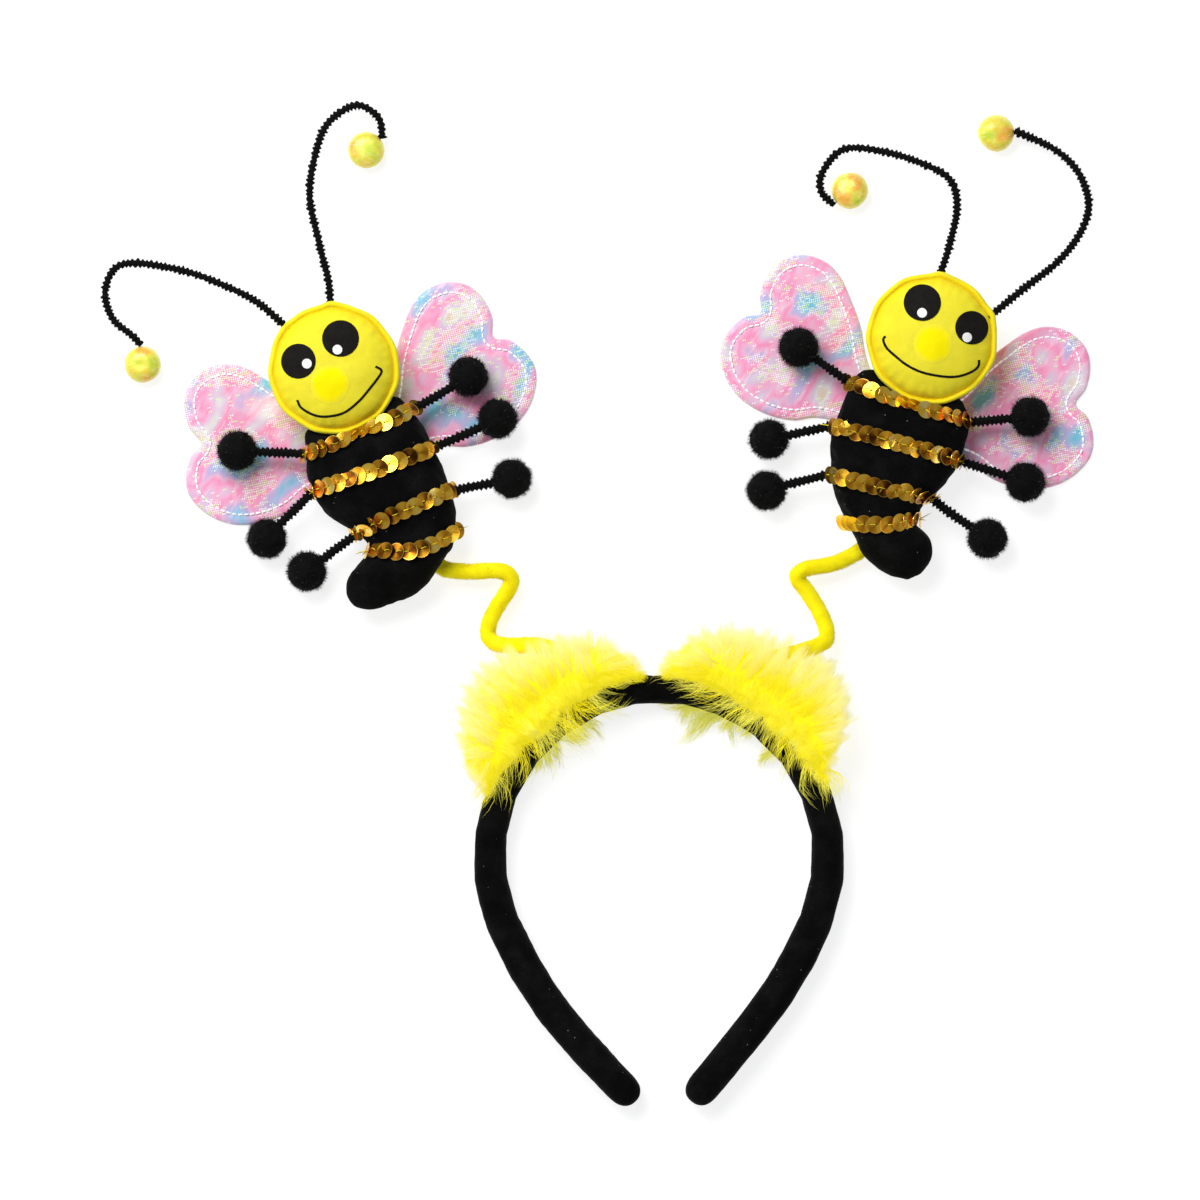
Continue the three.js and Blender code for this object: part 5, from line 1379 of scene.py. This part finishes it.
def coatBarbs(name, core, sign, seed):
    form = tuftForm
    draw = np.random.default_rng(seed)
    ats, reaches, laps = zip(*tuftReach[name])
    outer = crown["radius"] + crown["depth"] / 2
    root, normal = scattered(core, form["barbs"], draw)
    _, near = crownPolar(sign, root)
    root, normal = (part[(near > outer - 0.3) | (root[:, 2] > 13)] for part in (root, normal))
    nest, out = scattered(core, form["locks"], draw)
    heading = unit(0.50 * out + 1.0 * awayFromSpine(sign, nest) + 0.16 * draw.normal(size=nest.shape))
    goal = nest + heading * form["length"] * draw.uniform(0.7, 1.5, (len(nest), 1))
    mine = np.array([np.argmin(((nest - place) ** 2).sum(axis=1)) for place in root])
    own = unit(0.55 * normal + 0.9 * awayFromSpine(sign, root) + 0.25 * draw.normal(size=root.shape))
    length = form["length"] * draw.uniform(0.55, 1.2, (len(root), 1))
    gather = form["gather"] * draw.uniform(0.6, 1.3, (len(root), 1))
    tip = (1 - gather) * (root + own * length) + gather * (goal[mine] + draw.normal(size=root.shape) * 0.5)
    # the tips keep inside the outline, and inside the band's inner edge
    angle, far = crownPolar(sign, tip)
    _, near = crownPolar(sign, root)
    uneven = 0.99 + 0.10 * draw.normal(size=len(nest))[mine] + 0.03 * draw.normal(size=len(root))
    limit = outer + np.interp(angle, ats, reaches) * uneven
    share = np.where(far > limit, (limit - near) / np.maximum(far - near, 0.1), 1)
    ragged = draw.uniform(-0.3, 1.5, len(nest))[mine]
    inside = outer - np.interp(angle, ats, laps) * ragged - 0.3
    share = np.where(far < inside, (near - inside) / np.maximum(near - far, 0.1), share)
    share = np.where((angle < ats[0]) | (angle > ats[-1] - 3), 0.3, share)
    tip = root + (tip - root) * np.clip(share, 0.12, 1)[:, None]
    sag = np.stack([0 * length[:, 0], 0 * length[:, 0], -0.5 - 0.10 * length[:, 0]], axis=1)
    middle = root + (tip - root) * 0.55 + draw.normal(size=root.shape) * 0.45
    line = np.stack([root, middle, tip + sag], axis=1)
    _, far = crownPolar(sign, line)
    line[:, :, 2] = np.clip(line[:, :, 2], np.where(far < outer + 0.4, 13.5, 0.3), form["top"])
    angle, far = crownPolar(sign, line[:, -1])
    outward = np.clip((far - outer) / np.maximum(np.interp(angle, ats, reaches), 4), 0, 1)
    heart = np.exp(-((angle - sum(form["spine"]) / 2) / 19) ** 2) * np.clip(1.35 - 1.5 * outward, 0, 1)
    lock = draw.normal(size=len(nest))[mine] * 0.06
    tipTone = 0.62 + 0.48 * outward ** 0.9 - 0.55 * heart + lock + draw.normal(size=len(root)) * 0.06
    tipTone = np.clip(tipTone, 0.47, 1)
    tipTone = np.where(far < outer - 3, np.clip(0.42 + lock, 0.3, 0.48), tipTone)
    rootTone = np.clip(tipTone - 0.10, 0.42, 0.9)
    return line, np.column_stack([rootTone, 0.5 * (rootTone + tipTone), tipTone])


# loose barbs in wisps: each wisp's barbs leave one spot and gather again at its tip
def looseBarbs(name, sign, seed):
    form = looseForm
    draw = np.random.default_rng(seed)
    outer = crown["radius"] + crown["depth"] / 2
    inner = outer - crown["depth"]
    rows = np.array(looseRows[name], dtype=float)
    fans = []
    for group, fan in np.ndindex(form["groups"], form["fans"]):
        share = (group + 0.5 + 0.28 * draw.normal()) / form["groups"]
        degrees = rows[0, 0] + (rows[-1, 0] - rows[0, 0]) * share
        heading, reach = (np.interp(degrees, rows[:, 0], rows[:, column]) for column in (1, 2))
        lap = np.interp(degrees, *np.array(tuftReach[name], dtype=float)[:, ::2].T)
        radius = outer - lap + draw.uniform(-0.5, 4.5)
        fans.append((degrees, heading, reach, radius, form["level"], draw.uniform(0.22, 0.44), form["barbs"]))
    for degrees, heading, reach in underRows[name]:
        # a low tone: painted shade on the barbs from under the band
        fans.append((degrees, heading, reach, inner + 1.5, 4.5, draw.uniform(0.05, 0.2), form["underBarbs"]))
    lines, tones = [], []
    for degrees, heading, reach, radius, level, tone, barbs in fans:
        root = crownPoint(sign, degrees, radius, level)
        for wisp in range(form["locks"]):
            turn = math.radians(heading + draw.normal() * 20)
            length = reach * draw.uniform(0.6, 1.25)
            ahead = np.array([math.cos(turn), math.sin(turn), 0])
            across = np.array([-ahead[1], ahead[0], 0])
            bow = draw.normal() * 0.13 * length
            for barb in range(barbs):
                start = root + draw.normal(size=3) * (0.9, 0.9, 0.25)
                reached = length * draw.uniform(0.6, 1.08)
                side = draw.normal() * 0.07 * length
                line = []
                for along in np.linspace(0, 1, 5):
                    swing = math.sin(along * math.pi) * (bow + side) + along ** 2 * draw.normal() * 0.35
                    line.append(start + ahead * reached * along + across * (swing + 0.5 * bow * along ** 2))
                lines.append(line)
                tones.append(np.clip(tone + draw.normal() * 0.05 + np.linspace(0.08, 0, 5), 0, 0.5))
    lines = np.array(lines)
    _, far = crownPolar(sign, lines)
    droop = 0.5 * np.clip(inner - 0.5 - far, 0, 12)
    rise = 0.9 * np.sin(np.linspace(0, 1, 5) * 2.6)
    lines[:, :, 2] = np.maximum(lines[:, :, 2] + rise - droop, np.where(far > inner - 0.4, 0, 1.0))
    return lines, np.array(tones)


for name, bee in bees.items():
    sign = -bee["side"]
    seed = 500 if name == "left" else 533
    core = tuftCore(name, sign, seed)
    lines, tones = coatBarbs(name, core, sign, seed + 1)
    coat = strandPiece("coat", lines, np.tile(np.array([1.0, 0.75]) * tuftForm["width"], (len(lines), 1)), tones)
    lines, tones = looseBarbs(name, sign, seed + 2)
    taper = np.array([1.0, 0.95, 0.8, 0.6]) * looseForm["width"]
    loose = strandPiece("loose", lines, np.tile(taper, (len(lines), 1)), tones)
    tuft = joined([core, coat, loose], name + "_marabou")
    fitOut(tuft, marabouYellow, [name + "_feather_tuft"])
print("tufts ready")


# ---- floor and light
bpy.ops.object.select_all(action="DESELECT")
bpy.ops.mesh.primitive_plane_add(size=6, location=(0, 0, -0.0002))
floor = calledAs("floor")
paper, *_ = newFinish("lightTable", Roughness=0.9, Base_Color=(0.32, 0.32, 0.32, 1),
                      Emission_Color=(1, 1, 1, 1), Emission_Strength=0.78)
floor.data.materials.append(paper)

# name: place in metres, width, power in watts
lamps = {
    "overhead": ((-0.6, 0.95, 1.35), 1.0, 28),
    "leftSoft": ((-1.5, 0.2, 0.9), 0.7, 4),
    "rightSoft": ((1.4, -0.4, 1.0), 0.6, 2),
    "frontSoft": ((0.1, -1.5, 0.8), 0.6, 2),
}
for name, (place, size, power) in lamps.items():
    bpy.ops.object.light_add(type="AREA", location=place)
    lamp = calledAs(name)
    lamp.data.size = size
    lamp.data.energy = power
    lamp.rotation_euler = (Vector((0, 0.03, 0)) - Vector(place)).to_track_quat("-Z", "Y").to_euler()

world = bpy.context.scene.world or bpy.data.worlds.new("studio")
bpy.context.scene.world = world
world.use_nodes = True
world.node_tree.nodes["Background"].inputs["Color"].default_value = (0.93, 0.95, 1.0, 1)
world.node_tree.nodes["Background"].inputs["Strength"].default_value = 0.27
bpy.context.scene.view_settings.view_transform = "Standard"
print("light ready")
